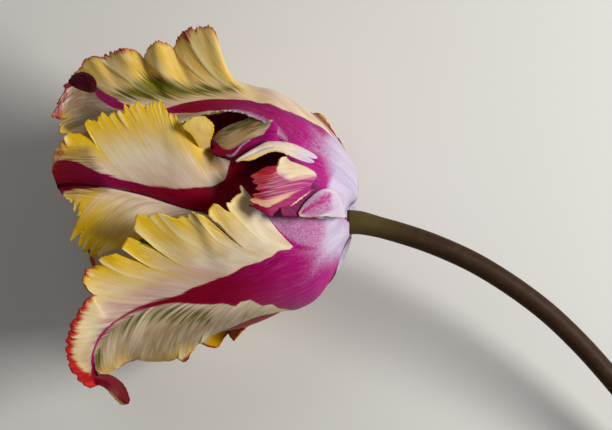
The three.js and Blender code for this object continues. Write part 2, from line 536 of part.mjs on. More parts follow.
// The stem: a tube along its centre line, wider where it carries the bloom, flat at the cut.
function stem() {
  const guide = STEM_LINE.map((p) => new THREE.Vector3(...p));
  const curve = new THREE.CatmullRomCurve3(guide, false, 'centripetal');
  const length = curve.getLength();
  const rings = Array.from({ length: STEM_RINGS + 1 }, (_, i) => {
    const t = i / STEM_RINGS;
    const centre = curve.getPointAt(t);
    const along = i === 0 ? new THREE.Vector3(1, 0, 0) : curve.getTangentAt(t);
    const across = new THREE.Vector3(0, 0, 1).cross(along).normalize();
    const up = along.clone().cross(across);
    const swell = (RECEPTACLE_RADIUS - STEM_RADIUS) * (1 - ease((t * length) / 12));
    return Array.from({ length: STEM_SIDES }, (_, j) => {
      const turn = (j / STEM_SIDES) * 2 * Math.PI;
      const point = centre.clone()
        .addScaledVector(across, Math.cos(turn) * (STEM_RADIUS + swell))
        .addScaledVector(up, Math.sin(turn) * (STEM_RADIUS + swell));
      point.z = Math.max(point.z, 0);
      return point;
    });
  });
  return meshOf('stem', ringSolid(rings), { color: '#6f6a3c', roughness: 0.55, metalness: 0 });
}

// A point given along the axis, at a distance from it and at a bearing.
function aroundAxis(along, radius, bearing) {
  return new THREE.Vector3(-along, radius * Math.sin(bearing), AXIS_HEIGHT + radius * Math.cos(bearing));
}

// The pistil: a three-sided ovary with a three-lobed stigma.
function pistil() {
  const rings = PISTIL.map(([along, radius, lobe]) => Array.from({ length: PISTIL_SIDES }, (_, j) => {
    const bearing = (j / PISTIL_SIDES) * 2 * Math.PI;
    return aroundAxis(along, radius * (1 + lobe * Math.cos(3 * bearing)), bearing);
  }));
  return meshOf('pistil', ringSolid(rings), { color: '#b9bd74', roughness: 0.5, metalness: 0 });
}

// One stamen: a filament that carries an anther, standing between the pistil and the inner tepals.
function stamen(k) {
  const bearing = (STAMEN_TURN + (360 / STAMENS) * k) * DEG;
  const outward = new THREE.Vector3(0, Math.sin(bearing), Math.cos(bearing));
  const sideways = new THREE.Vector3(0, Math.cos(bearing), -Math.sin(bearing));
  const rings = STAMEN.map(([along, distance, radius]) => Array.from({ length: STAMEN_SIDES }, (_, j) => {
    const turn = (j / STAMEN_SIDES) * 2 * Math.PI;
    return aroundAxis(along, distance, bearing)
      .addScaledVector(outward, Math.cos(turn) * radius * 0.75)
      .addScaledVector(sideways, Math.sin(turn) * radius);
  }));
  return meshOf(`stamen_${k + 1}`, ringSolid(rings), { color: '#2f1d33', roughness: 0.8, metalness: 0 });
}

const tulip = new THREE.Group();
tulip.name = 'parrot_tulip';
tulip.add(tepal('tepal_outer_upper', UPPER_OUTER, VISIBLE_COLUMNS, '#c98ab0'));
tulip.add(tepal('tepal_outer_lower', LOWER_OUTER, VISIBLE_COLUMNS, '#d8c4a2'));
tulip.add(tepal('tepal_outer_back', BACK_OUTER, HIDDEN_COLUMNS, '#d2b3ab'));
tulip.add(tepal('tepal_inner_front', FRONT_INNER, VISIBLE_COLUMNS, '#c98d5c'));
tulip.add(tepal('tepal_inner_upper', UPPER_INNER, HIDDEN_COLUMNS, '#b4536a'));
tulip.add(tepal('tepal_inner_lower', LOWER_INNER, HIDDEN_COLUMNS, '#a63c52'));
tulip.add(stem());
tulip.add(pistil());
for (let k = 0; k < STAMENS; k += 1) tulip.add(stamen(k));

export default tulip;
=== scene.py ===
"""One cut parrot tulip lying on a plain pale floor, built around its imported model.

Lengths are in millimetres from the bloom's base until a mesh is placed, and metres after that. A
place on a blade is given by u, from its base (0) to its tip (1), and w, from its minus margin (-1)
over its midrib (0) to its plus margin (1). A bearing is an angle about the bloom's axis, from
straight up. The cup is the curve that a blade follows, and a step is a length along it.
"""

import logging
import math
from dataclasses import dataclass
from enum import Enum

import bmesh
import bpy
import numpy as np
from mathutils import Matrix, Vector


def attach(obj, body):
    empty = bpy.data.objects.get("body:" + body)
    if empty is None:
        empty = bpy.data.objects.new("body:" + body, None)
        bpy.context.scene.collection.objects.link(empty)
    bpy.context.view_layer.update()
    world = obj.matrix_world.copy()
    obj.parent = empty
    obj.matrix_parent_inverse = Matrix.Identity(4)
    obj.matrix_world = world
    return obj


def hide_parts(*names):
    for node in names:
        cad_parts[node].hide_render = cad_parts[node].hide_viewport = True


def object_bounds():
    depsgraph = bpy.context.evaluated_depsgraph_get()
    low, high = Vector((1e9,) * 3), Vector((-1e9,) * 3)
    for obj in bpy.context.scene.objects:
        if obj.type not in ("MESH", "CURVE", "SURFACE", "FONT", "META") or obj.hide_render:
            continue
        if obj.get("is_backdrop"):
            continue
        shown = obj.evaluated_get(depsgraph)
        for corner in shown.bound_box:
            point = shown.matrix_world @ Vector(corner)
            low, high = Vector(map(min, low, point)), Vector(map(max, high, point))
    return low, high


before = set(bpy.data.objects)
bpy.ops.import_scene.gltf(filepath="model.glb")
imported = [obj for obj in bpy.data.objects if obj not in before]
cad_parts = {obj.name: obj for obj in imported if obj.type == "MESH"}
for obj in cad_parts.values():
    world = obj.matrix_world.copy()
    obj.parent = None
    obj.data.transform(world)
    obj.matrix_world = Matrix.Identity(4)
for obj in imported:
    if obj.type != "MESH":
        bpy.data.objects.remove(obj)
CAD_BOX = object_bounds()
LOG = logging.getLogger("tulip")

Rows = tuple[tuple[float, ...], ...]
Colour = tuple[float, float, float]
Material = bpy.types.Material
Piece = bpy.types.Object
Mesh = bmesh.types.BMesh
Array = np.ndarray
Socket = bpy.types.NodeSocket
Input = Socket | float | tuple[float, ...]

MM = 0.001
AXIS_HEIGHT = 39.5
CENTRE = (17.5, -49.5)
BLADE_LENGTH = 110.0
NARROWEST = 3.0

FLAT: Rows = ((0, 0), (1, 0))
EVEN: Rows = ((0, 1), (1, 1))
TURNED_UP: Rows = ((0, 1), (0.3, 1), (0.5, 2), (1, 2))
DEEP_HUE: Rows = ((0, 0.6), (0.1, 1), (1, 1))

# Where forms come in, as a start and a span.
WAVE_RISE = (0.12, 0.15)
RAG_RISE = (0.2, 0.15)
TIP_RISE = (0.8, 0.2)
REACH_RISE = (0.3, 0.7)
FURROW_RISE = (0.15, 0.5)
LIP_RISE = (0.6, 0.35)
RUN_FADE = 0.02
NATURAL_FADE = 0.03
FOLD_START = 0.25
FOLD_END = 0.95

# The rhythm of a run of teeth.
TOOTH_SWAY = 0.3
TOOTH_RHYTHM = 1.8
TOOTH_MEAN = 0.65
TOOTH_SWING = 0.35
TOOTH_FOOT = 0.4
TOOTH_TURN = 2.4
RUN_TURN = 1.7

# Folds, creases and furrows of the blades.
CREASE_WIDTH = 0.13
FOLD_SINK = 0.15
VALLEY_DEPTH = 0.15
FOLD_LEAST = 0.15
FOLD_PER_MM = 0.22
TIP_ROUNDNESS = 0.8
VEIN_SWEEP = 0.27
VEIN_BEND = 0.1
LEAN_RISE = 0.45
LEAN_FADE = 0.3
ROOT_DEPTH = 0.7
ROOT_SHARE = 0.15
LEAST_MARGIN = 2.0

# Layers, maps and levels of the meshes.
HUE_LAYER = "petal_hue"
# The lip layer carries a painted highlight on the raised lips of the folds.
HIGHLIGHT_LAYER = "petal_lip_highlight"
VEIN_MAP = "Veins"
ALONG_MAP = "Along"
TAG_LAYER = "along"
LOWEST = -3.0
SEAM_GAP = 0.0001
STAMENS = 6


def ease(x: Array) -> Array:
    """Smooth step from 0 at x = 0 to 1 at x = 1."""
    x = np.clip(x, 0.0, 1.0)
    return x * x * (3.0 - 2.0 * x)


def rise(x: Array, start: float, span: float) -> Array:
    """Smooth step from 0 at a start to 1 a span further on."""
    return ease((x - start) / span)


def lookup(rows: Rows, x: Array) -> Array:
    """Smooth curve through a table, carried on straight past its ends.

    Args:
        rows: Rows of (x, values...), with x rising.
        x: Places to read, of any shape.

    Returns:
        The values, with one more dimension than x.
    """
    knots = np.asarray(rows, float)
    xs, values = knots[:, 0], knots[:, 1:]
    count = len(xs)
    steep = np.diff(values, axis=0) / np.diff(xs)[:, None]
    slope = np.zeros_like(values)
    slope[0], slope[-1] = steep[0], steep[-1]
    for k in range(1, count - 1):
        before, after = xs[k] - xs[k - 1], xs[k + 1] - xs[k]
        slope[k] = (steep[k - 1] * after + steep[k] * before) / (before + after)
    x = np.asarray(x, float)
    k = np.clip(np.searchsorted(xs, x, side="right") - 1, 0, count - 2)
    span = (xs[k + 1] - xs[k])[..., None]
    raw = (x - xs[k])[..., None] / span
    t = np.clip(raw, 0.0, 1.0)
    body = (
        (2 * t**3 - 3 * t**2 + 1) * values[k]
        + (t**3 - 2 * t**2 + t) * span * slope[k]
        + (3 * t**2 - 2 * t**3) * values[k + 1]
        + (t**3 - t**2) * span * slope[k + 1]
    )
    over = (raw - t) * span
    return body + over * np.where(over > 0, slope[k + 1], slope[k])


def straight(rows: Rows, x: Array) -> Array:
    """Straight-line reading of a table of (x, value) rows."""
    knots = np.asarray(rows, float)
    return np.interp(x, knots[:, 0], knots[:, 1])


def linear(red: float, green: float, blue: float) -> Colour:
    """Linear colour of an sRGB one given from 0 to 255."""
    shares = (c / 255 for c in (red, green, blue))
    return tuple(c / 12.92 if c <= 0.04045 else ((c + 0.055) / 1.055) ** 2.4 for c in shares)


def spaced(count: int) -> Array:
    """Angles of a number of places around a circle."""
    return np.linspace(0, 2 * np.pi, count, endpoint=False)


@dataclass(frozen=True)
class Teeth:
    """A run of fringe teeth along one margin.

    Attributes:
        side: Which margin it is on.
        start: Where the run begins, from base to tip.
        end: Where it ends.
        count: How many teeth it has.
        height: How far they reach.
    """

    side: int
    start: float
    end: float
    count: float
    height: float

    def reach(self, u: Array, order: int) -> Array:
        """How far the run carries the margin past its guide.

        Args:
            u: Places along the margin.
            order: The run's number, which shifts its rhythm.

        Returns:
            The reach at each place.
        """
        shown = ease((u - self.start) / RUN_FADE) * ease((self.end - u) / RUN_FADE)
        part = (u - self.start) / (self.end - self.start)
        turn = part * self.count + TOOTH_SWAY * np.sin(TOOTH_RHYTHM * u * self.count + order)
        tooth = np.floor(turn)
        size = TOOTH_MEAN + TOOTH_SWING * np.sin(tooth * TOOTH_TURN + order * RUN_TURN)
        return self.height * shown * (size * np.sin(np.pi * (turn - tooth)) - TOOTH_FOOT)


@dataclass(frozen=True)
class Wave:
    """A ruffle along one margin.

    Attributes:
        side: Which margin it is on.
        size: Its height.
        count: How many waves it has from base to tip.
        shift: How far on the first one starts, in waves.
        start: Where it begins between midrib and margin.
    """

    side: int
    size: float
    count: float
    shift: float
    start: float

    def lift(self, u: Array, part: Array) -> Array:
        """How far the ruffle lifts places of the blade."""
        shown = rise(part, self.start, 1 - self.start) * rise(u, *WAVE_RISE)
        return self.size * shown * np.sin(2 * np.pi * (self.count * u + self.shift))


@dataclass(frozen=True)
class Guides:
    """The form of one blade, as tables from its base to its tip.

    Attributes:
        cup: The curve that the blade follows, as (step, distance along the axis, radius).
        mid: The midrib, as (u, step, bearing in degrees, lift off the cup).
        plus: The margin on the plus side, in the same terms.
        minus: The margin on the minus side.
        flare_plus: How late the plus side turns up towards its margin.
        flare_minus: The same on the minus side.
        belly_plus: How far the plus side bulges between midrib and margin.
        belly_minus: The same on the minus side.
        crease: How deep the midrib is folded in.
        waves: Ruffles of the margins.
        teeth: Runs of fringe teeth.
    """

    cup: Rows
    mid: Rows
    plus: Rows
    minus: Rows
    flare_plus: Rows = EVEN
    flare_minus: Rows = EVEN
    belly_plus: Rows = FLAT
    belly_minus: Rows = FLAT
    crease: Rows = FLAT
    waves: tuple[Wave, ...] = ()
    teeth: tuple[Teeth, ...] = ()

    def point(self, u: Array, w: Array) -> Array:
        """Points of the blade's middle surface, from the bloom's own axis.

        Args:
            u: Places from base to tip.
            w: Places across the blade.

        Returns:
            Points, with one more dimension than u.
        """
        part = np.abs(w)
        above = w >= 0
        mid = lookup(self.mid, u)
        edge = np.where(above[..., None], lookup(self.plus, u), lookup(self.minus, u))
        power, belly = (
            np.where(above, lookup(plus, u)[..., 0], lookup(minus, u)[..., 0])
            for plus, minus in ((self.flare_plus, self.flare_minus), (self.belly_plus, self.belly_minus))
        )
        step, bearing = (mid[..., c] + (edge[..., c] - mid[..., c]) * part for c in (0, 1))
        lift = mid[..., 2] + (edge[..., 2] - mid[..., 2]) * part**power
        lift = lift + belly * 4 * part * (1 - np.minimum(part, 1))
        lift = lift - lookup(self.crease, u)[..., 0] * np.exp(-((part / CREASE_WIDTH) ** 2))
        for wave in self.waves:
            lift = lift + np.where(above == (wave.side > 0), wave.lift(u, part), 0)
        cup = lookup(self.cup, step)
        radius = cup[..., 1] + lift
        angle = np.radians(bearing)
        return np.stack([-cup[..., 0], radius * np.sin(angle), radius * np.cos(angle)], -1)

    def width(self, u: Array, side: int) -> Array:
        """Distance from the midrib to a margin, never under the narrowest."""
        spread = self.point(u, np.zeros_like(u)) - self.point(u, np.full_like(u, float(side)))
        return np.maximum(np.linalg.norm(spread, axis=-1), NARROWEST)


def even_guides(cup: Rows, rows: Rows, **more: Rows | tuple[Wave | Teeth, ...]) -> Guides:
    """Guides whose midrib and margins are given at the same places.

    Args:
        cup: The curve that the blade follows.
        rows: (u, then step, bearing and lift of the midrib, the plus and the minus margin).
        **more: Anything else of the form, by name.

    Returns:
        The guides.
    """
    mid, plus, minus = (tuple((row[0], *row[k:k + 3]) for row in rows) for k in (1, 4, 7))
    return Guides(cup, mid, plus, minus, **more)


# The cups, as (step, distance along the axis, radius).
CUP_UPPER = (
    (0, 0.5, 4.6), (3, -2, 10), (6, -1.5, 16.5), (9, 1.5, 22.5), (13, 8, 31), (17, 14, 36), (22, 22, 41),
    (30, 30, 43), (40, 40, 44), (60, 60, 44), (80, 80, 46), (95, 95, 49),
)
CUP_LOWER = (
    (0, 0.5, 4.6), (3, 2.2, 8), (6, 4, 13.2), (9, 6.5, 18.6), (13, 11, 25.2), (17, 16.2, 29.5),
    (22, 22, 33), (32, 32, 36.5), (48, 48, 39), (62, 62, 41.5), (72, 72, 44.5), (80, 80, 47.5),
    (90, 90, 51), (100, 100, 54),
)
CUP_BACK = (
    (0, 0.5, 4.7), (3, -2.4, 10), (6, -2, 17), (9, 0.8, 23.7), (13, 7, 32.3), (17, 13.2, 37.3),
    (22, 21, 40.2), (30, 30, 40.6), (45, 45, 40.6), (60, 60, 40.6), (78, 78, 42), (90, 90, 46),
)
CUP_FRONT = (
    (0, 1.6, 3.4), (3, 2.2, 7.5), (6, 4.6, 12.5), (9, 8, 17), (13, 12.8, 22.3), (17, 17.5, 26),
    (22, 22.5, 29), (32, 32, 32.5), (48, 48, 35), (65, 65, 36.5), (80, 80, 38.5), (97, 97, 41),
)
CUP_INNER = (
    (0, 1.6, 3.4), (3, 1.8, 7.5), (6, 3.6, 12.5), (9, 6.5, 17), (13, 11.5, 23.3), (17, 16.5, 28),
    (22, 22.5, 31.5), (32, 32, 33.5), (48, 48, 35), (65, 65, 35.5), (80, 80, 36.5), (97, 97, 39),
)

# The blades and lobes, with margins as (u, step, bearing, lift).
FRONT_BELLY: Rows = ((0, 0), (0.4, 0), (0.55, 1), (0.85, 0.6), (1, 0))
UPPER_OUTER = Guides(CUP_UPPER, (
    (0, 0, 50, 0), (0.05, 4, 49, 0), (0.1, 8.5, 47, 0), (0.18, 14.5, 46, 0), (0.22, 17.5, 50, 0),
    (0.275, 20, 53, 0), (0.34, 25, 54.5, 0), (0.41, 31.5, 56.5, 0), (0.49, 39.5, 57.5, 0),
    (0.57, 47.5, 56, 0), (0.665, 57, 54.5, 0), (0.755, 66.5, 56, 0), (0.82, 72.5, 58, 0),
    (0.87, 77, 62.5, 0), (0.92, 80, 70.5, 0), (0.96, 83.5, 76, 0), (1, 88, 69, 0),
), (
    (0, 0, 107, 0), (0.05, 4, 107, 0), (0.1, 9, 107, 0), (0.16, 14, 107, 0), (0.22, 20, 106, 0),
    (0.28, 28, 103, 0), (0.33, 34, 98, 0.5), (0.36, 38, 82.5, 2.5), (0.385, 41, 78, 9.5),
    (0.41, 43, 77, 18), (0.45, 47.5, 78, 19), (0.49, 51.5, 79, 18), (0.52, 54.5, 79.5, 15.5),
    (0.545, 56, 80, 13), (0.57, 58, 79, 13.5), (0.6, 60.5, 77, 14.5), (0.64, 63.5, 77.5, 12.5),
    (0.665, 65, 80, 8.5), (0.69, 67, 78.5, 9.5), (0.725, 71.5, 76.5, 11), (0.755, 75.5, 77.5, 9.5),
    (0.775, 78.5, 78, 7.5), (0.8, 81.5, 77, 7.5), (0.83, 84, 77, 6), (0.86, 86, 75, 3), (0.91, 87, 72.5, 2),
    (1, 89, 66.5, 0),
), (
    (0, 0, 8, 0), (0.02, 0.9, 9, 3.2), (0.04, 3.2, 8, 4.6), (0.055, 6.2, 6, 3.2), (0.08, 12, 3, 1),
    (0.12, 15.5, 4, 1), (0.18, 19.5, 9.5, 1), (0.22, 21, 17.5, 1), (0.26, 21, 27.5, 0.5),
    (0.3, 20.5, 36.5, 0), (0.34, 27, 45.5, 0), (0.41, 35.5, 51.5, 0.5), (0.49, 45, 50, 0),
    (0.57, 56, 44.5, -1), (0.665, 69, 38, -2.5), (0.755, 78, 36, -3), (0.82, 85, 37.5, -2.5),
    (0.87, 90, 42, -1.5), (0.93, 91, 50, -0.5), (1, 90, 58.5, 0),
), flare_plus=((0, 1), (0.3, 1.1), (0.36, 2), (0.41, 2.6), (0.6, 2.4), (0.8, 2), (1, 1)), teeth=(
    Teeth(1, 0.39, 0.66, 6, 1.2), Teeth(1, 0.7, 0.98, 9, 1.6), Teeth(-1, 0.7, 1, 9, 3),
))
FLAP = Guides(CUP_UPPER, (
    (0, 21.1, 41.1, 0.1), (0.19, 24.3, 41.5, 0.1), (0.36, 29.1, 39.9, -0.8), (0.55, 33.5, 37.2, -1.5),
    (0.76, 37.8, 33.2, -1.6), (1, 42.8, 33.7, -2.4),
), (
    (0, 21.1, 49.6, 0.1), (0.19, 25, 49.6, 0), (0.36, 29.2, 54.9, -1.8), (0.55, 33.6, 53.2, -3.5),
    (0.76, 38.6, 48.1, -3.5), (0.88, 41.4, 44.6, -3.5), (1, 43.8, 39.6, -3.5),
), (
    (0, 21.1, 33.6, 0.1), (0.19, 24.3, 34.6, -0.3), (0.36, 29.1, 31.8, -1.2), (0.55, 32.8, 28.8, -1.5),
    (0.76, 36.5, 25.9, -1.6), (0.88, 39.6, 28.8, -2), (1, 44.4, 31.2, -2.5),
), belly_minus=((0, 0), (0.4, 0.5), (0.8, 0.5), (1, 0)), belly_plus=(
    (0, 0), (0.4, 0.8), (0.8, 0.8), (1, 0),
))
CURL = even_guides(CUP_UPPER, (
    (0, 12.2, 36.7, -0.35, 12.4, 38.5, -0.45, 12.2, 34.5, -0.45),
    (0.15, 15, 34.5, 0.25, 14.6, 38.2, 0.15, 15.2, 30.8, 0.15),
    (0.32, 18.3, 34.3, 0.7, 17.2, 38.3, 0.6, 18.3, 30.4, 0.6),
    (0.48, 21.1, 33.9, 0.9, 20, 38, 0.8, 20.9, 31.2, 0.8),
    (0.64, 24.9, 32.6, 0.9, 23, 36.4, 0.8, 23, 31.3, 0.8),
    (0.79, 29.7, 29.8, 0.8, 27.3, 34.4, 0.7, 25.9, 29.8, 0.7),
    (0.89, 32.8, 27.3, 0.7, 31.5, 30.5, 0.6, 29.7, 27, 0.6),
    (1, 35.9, 25.3, 0.5, 35.3, 26.5, 0.4, 31.9, 25.8, 0.4),
), belly_plus=((0, 0.1), (0.3, 0.4), (1, 0.4)), belly_minus=((0, 0.1), (0.3, 0.4), (1, 0.4)))
RAGGED = even_guides(CUP_UPPER, (
    (0, 11.8, 28.5, -0.35, 12, 31.5, -0.35, 11.8, 25.2, -0.35),
    (0.17, 14.6, 23.2, 0.5, 14.2, 29.6, 0.1, 14.6, 19.9, 0.3),
    (0.34, 17.7, 21, 1.1, 17.3, 29.7, 0.3, 17.7, 14.6, 0.8),
    (0.5, 20.1, 18.2, 1.4, 20.5, 30.3, 0.5, 20.1, 10.5, 1.2),
    (0.67, 23.2, 15.9, 1.7, 22, 28, 1.4, 23.2, 7.2, 1.6),
    (0.83, 26.6, 14.7, 1.9, 22.9, 23.8, 1.9, 25.9, 5.4, 2), (1, 29.7, 13.7, 2, 27.6, 22.7, 2.1, 30, 7, 2.2),
), belly_plus=((0, 0), (0.4, 0.4), (1, 0)))
BASE_LOBE = even_guides(CUP_UPPER, (
    (0, 9.3, 12.1, -0.35, 10, 18.7, -0.35, 8.6, 4, -0.2),
    (0.2, 11.3, 12, 0.5, 11.6, 20.6, 0, 10.7, 3.2, 0.6), (0.4, 13.2, 11.2, 1, 13.6, 17.8, 0.6, 13, 3.4, 1),
    (0.6, 15.2, 8.7, 1.3, 15.5, 13.5, 1, 14.8, 2.8, 1.1),
    (0.8, 16.9, 5.8, 1.3, 17.3, 8.9, 1.1, 16.7, 2.2, 1.1), (1, 18.4, 3.7, 1, 18.6, 4.1, 1, 18.3, 2.6, 1),
), belly_plus=((0, 0), (0.4, 0.8), (1, 0.3)), belly_minus=((0, 0), (0.4, 0.5), (1, 0.2)))
HOOD = even_guides(CUP_UPPER, (
    (0, 80, 64.6, -0.2, 79.6, 66.3, 0.3, 80.3, 62.5, -0.3),
    (0.25, 82, 67, 0.7, 81.6, 70.2, 2.2, 82.1, 61.6, 0.1),
    (0.5, 84.3, 69.6, 0.8, 84.4, 72.5, 2.4, 84.3, 62.2, 0.1),
    (0.75, 86.8, 68.5, 0.8, 87.2, 70.9, 1.6, 86.9, 63.6, 0.1),
    (1, 89.1, 67.1, 0.3, 88.9, 67.9, 0.7, 89.1, 66.7, -0.3),
))
LOWER_OUTER = Guides(CUP_LOWER, (
    (0, 0, -38, 0), (0.05, 3.5, -31, 0), (0.1, 8.5, -25, 0), (0.17, 13, -25, 0), (0.24, 18, -27.5, 0),
    (0.31, 25, -30, 0), (0.37, 31.5, -32, 0), (0.44, 39.5, -35, 0), (0.51, 47.5, -37.5, 0),
    (0.58, 55, -39, 0), (0.65, 63, -40, 0), (0.72, 69.5, -41.5, 1.5), (0.79, 75, -44.5, 3.5),
    (0.85, 78.5, -48.5, 5.5), (0.9, 80.5, -53, 7), (0.95, 80, -58.5, 8), (1, 79, -64, 9.5),
), (
    (0, 0, -3, 0), (0.04, 5.5, 0, 0), (0.1, 12, 1, 0), (0.17, 21, 4, 1.5), (0.21, 27.5, 9, 2),
    (0.24, 33.5, 15, 4.5), (0.27, 35, 12, 5.5), (0.31, 37.5, 8.5, 6), (0.335, 40, 6.5, 6.5),
    (0.36, 43, 7, 7), (0.39, 45, 2.5, 6.5), (0.42, 47.5, 2.5, 7), (0.44, 50.5, 4, 6.5), (0.47, 55.5, 2, 6),
    (0.51, 61.5, 3, 5.5), (0.55, 66, 1.5, 4.5), (0.58, 67.5, -4.5, 3), (0.61, 70.5, -7, 2.5),
    (0.65, 74, -12, 2), (0.69, 78.5, -14.5, 0.5), (0.72, 81.5, -17.5, 0), (0.755, 83, -22, 1),
    (0.79, 80.5, -27.5, 2), (0.83, 84, -32.5, 3), (0.87, 86.5, -39, 5.5), (0.91, 88, -45, 7.5),
    (0.95, 86, -52.5, 10), (1, 81.5, -60, 12),
), (
    (0, 0, -98, 0), (0.05, 4, -98, 0), (0.1, 8, -98, 0), (0.15, 12.5, -96, -0.5), (0.2, 17, -88, -2),
    (0.25, 21, -78, -3.5), (0.31, 26, -72, -4), (0.37, 30.5, -71, -4), (0.44, 35.5, -71, -3),
    (0.51, 43, -72, -1), (0.58, 48.5, -73, 2), (0.65, 54, -73, 5), (0.72, 60.5, -71, 5),
    (0.79, 67.5, -66.5, 4), (0.85, 72.5, -64, 5.5), (0.9, 76.5, -62, 7.5), (1, 78, -63.5, 9.5),
), flare_plus=((0, 1), (0.2, 1.2), (0.3, 1.8), (0.7, 1.8), (0.8, 1.3), (1, 1)), flare_minus=(
    (0, 1), (0.3, 1), (0.5, 1.3), (0.8, 1.3), (1, 1),
), belly_minus=((0, 0), (0.3, 0), (0.5, 2), (0.8, 2), (1, 0)), teeth=(
    Teeth(1, 0.24, 0.52, 8, 2.2), Teeth(1, 0.55, 0.78, 7, 2.4), Teeth(1, 0.78, 1, 8, 2),
    Teeth(-1, 0.45, 0.9, 11, 1.2),
))
TONGUE = even_guides(CUP_LOWER, (
    (0, 80.5, -58.5, 9.5, 80.5, -57.5, 8.5, 80.5, -60, 10.5),
    (0.25, 76.5, -62.5, 10, 76, -62.5, 8, 77.5, -63.5, 11.5),
    (0.5, 74, -65.5, 12.5, 72.5, -66.5, 10, 75.5, -65, 13.5),
    (0.75, 72, -67, 15, 70.5, -68.5, 13, 73.5, -67, 16),
    (1, 70.5, -68, 17.5, 69.5, -69, 17, 71.5, -68.5, 18),
))
FRONT_INNER = Guides(CUP_FRONT, (
    (0, 0, -2, 0), (0.05, 4, -2, 0), (0.12, 9, -1, 0), (0.2, 15, 1, 0), (0.28, 23.5, 1.5, 0),
    (0.36, 32, 2.5, 0), (0.44, 39.5, 4, 0), (0.52, 46, 6, 0), (0.6, 53, 8, 0), (0.68, 59.5, 11, 0),
    (0.76, 67, 14.5, 0), (0.83, 73.5, 16.5, 0), (0.89, 80, 17, 0), (0.95, 86, 17, 0), (1, 91.5, 16, 0),
), (
    (0, 0, 40, 0), (0.05, 4, 38, 0), (0.12, 9, 35, 0), (0.2, 15.5, 30, 0), (0.28, 22.5, 32.5, 0),
    (0.36, 33, 34, 0), (0.42, 39.5, 35.5, 0), (0.48, 45.5, 34, 5), (0.53, 51, 38.5, 10.5),
    (0.58, 56.5, 42, 14), (0.64, 60.5, 45, 16.5), (0.7, 66.5, 44, 16), (0.76, 74, 41.5, 14),
    (0.83, 82, 38, 11), (0.89, 88, 33, 7.5), (0.95, 91.5, 28.5, 5.5), (1, 93, 21.5, 2.5),
), (
    (0, 0, -42, 0), (0.05, 4, -40, 0), (0.12, 9, -36, 0), (0.2, 14, -30, 0), (0.28, 27.5, -23.5, 0),
    (0.36, 35.5, -23, 0), (0.44, 43, -23, 0), (0.52, 51.5, -23, 0), (0.6, 59.5, -22, 0),
    (0.68, 67.5, -19.5, 0), (0.76, 74.5, -17, -1), (0.83, 81, -12, -2), (0.89, 85.5, -4, -2),
    (0.95, 86.5, 5.5, -1.5), (1, 89.5, 12, 0),
), flare_plus=((0, 1), (0.4, 1.2), (0.5, 1.8), (0.8, 1.8), (1, 1)), belly_plus=FRONT_BELLY, belly_minus=(
    (0, 0), (0.4, 0), (0.55, 1), (0.85, 0.6), (1, 0),
), crease=((0, 0), (0.35, 0), (0.45, 1.5), (0.6, 2.6), (0.85, 2.4), (1, 1)), teeth=(
    Teeth(1, 0.52, 0.72, 7, 4), Teeth(1, 0.72, 1, 9, 4.5), Teeth(-1, 0.7, 1, 9, 4.5),
))
COMB_CURL = even_guides(CUP_FRONT, (
    (0, 45, 34.5, 2, 43.5, 35, 2, 47, 33.5, 2.5), (0.25, 45.5, 35, 8.5, 44, 35.5, 8, 48, 34, 8.5),
    (0.5, 46.5, 36.5, 12.5, 43, 37, 11.5, 50, 35.5, 12), (0.75, 47, 38, 14.5, 43, 39, 14, 52.5, 37, 14),
    (1, 47, 40.5, 16, 45.5, 40.5, 16, 49.5, 39.5, 16),
))
BACK_OUTER = Guides(CUP_BACK, (
    (0, 0, 181, 0), (0.05, 4, 181, 0), (0.12, 9, 181, 0), (0.25, 22, 181, 0), (0.4, 35, 181, 0),
    (0.55, 47.5, 180, 0), (0.7, 60, 179, 0), (0.82, 70.5, 178, 0), (0.92, 79, 177, 0.5), (1, 86, 177, 1.5),
), (
    (0, 0, 232, 0), (0.05, 8, 248, -11.5), (0.12, 11.5, 251, -8.5), (0.18, 15, 246, -8.5),
    (0.25, 21, 243, -8), (0.4, 33, 251, -2), (0.47, 39, 256, 0.5), (0.55, 46, 252, 0.5),
    (0.7, 58.5, 243, 2), (0.82, 69.5, 231, 3), (0.92, 80, 213, 3), (1, 86, 191, 2),
), (
    (0, 0, 128, 0), (0.04, 3, 106, 0.2), (0.08, 6, 100, 0.2), (0.12, 10, 96, 0.4), (0.16, 13.5, 96, 0.6),
    (0.19, 17, 112, 0), (0.25, 21, 116, 0), (0.4, 33, 114, 0.5), (0.55, 46, 115, 1.5), (0.7, 58.5, 121, 2),
    (0.82, 69.5, 132, 3), (0.92, 80, 148, 3), (1, 86, 168, 2),
), flare_plus=TURNED_UP, flare_minus=TURNED_UP, waves=(
    Wave(1, 1.6, 4, 0.2, 0.45), Wave(-1, 1.6, 4.5, 0.6, 0.45),
), teeth=(Teeth(1, 0.28, 1, 17, 2.6), Teeth(-1, 0.24, 1, 18, 2.6)))
UPPER_INNER = even_guides(CUP_INNER, (
    (0, 0, 128, 0, 0, 162, 0, 0, 94, 0), (0.05, 4, 128, 0, 4, 164, 0, 4, 92, 0),
    (0.12, 9, 128, 0, 9, 169, 0, 9, 87, 0), (0.25, 22, 128, 0, 20, 180, 0, 20, 76, 0),
    (0.4, 35.5, 128, 0, 33, 183, 0.5, 33, 73, 1), (0.55, 48.5, 128, 0, 46, 183, 1, 46, 73, 2),
    (0.7, 61.5, 127, 0, 60, 178.5, 1, 60, 77.5, 2), (0.82, 72, 126, 0, 71.5, 169, 1, 71.5, 87, 1.5),
    (0.92, 81, 126, 0, 82, 155.5, 1, 82, 100.5, 1), (1, 88, 126, 0, 88, 138, 0.5, 88, 118, 0.5),
), flare_plus=TURNED_UP, flare_minus=TURNED_UP, waves=(
    Wave(1, 1, 4, 0, 0.45), Wave(-1, 1.4, 4.5, 0.3, 0.45),
), teeth=(Teeth(1, 0.3, 1, 16, 3), Teeth(-1, 0.3, 1, 16, 3)))
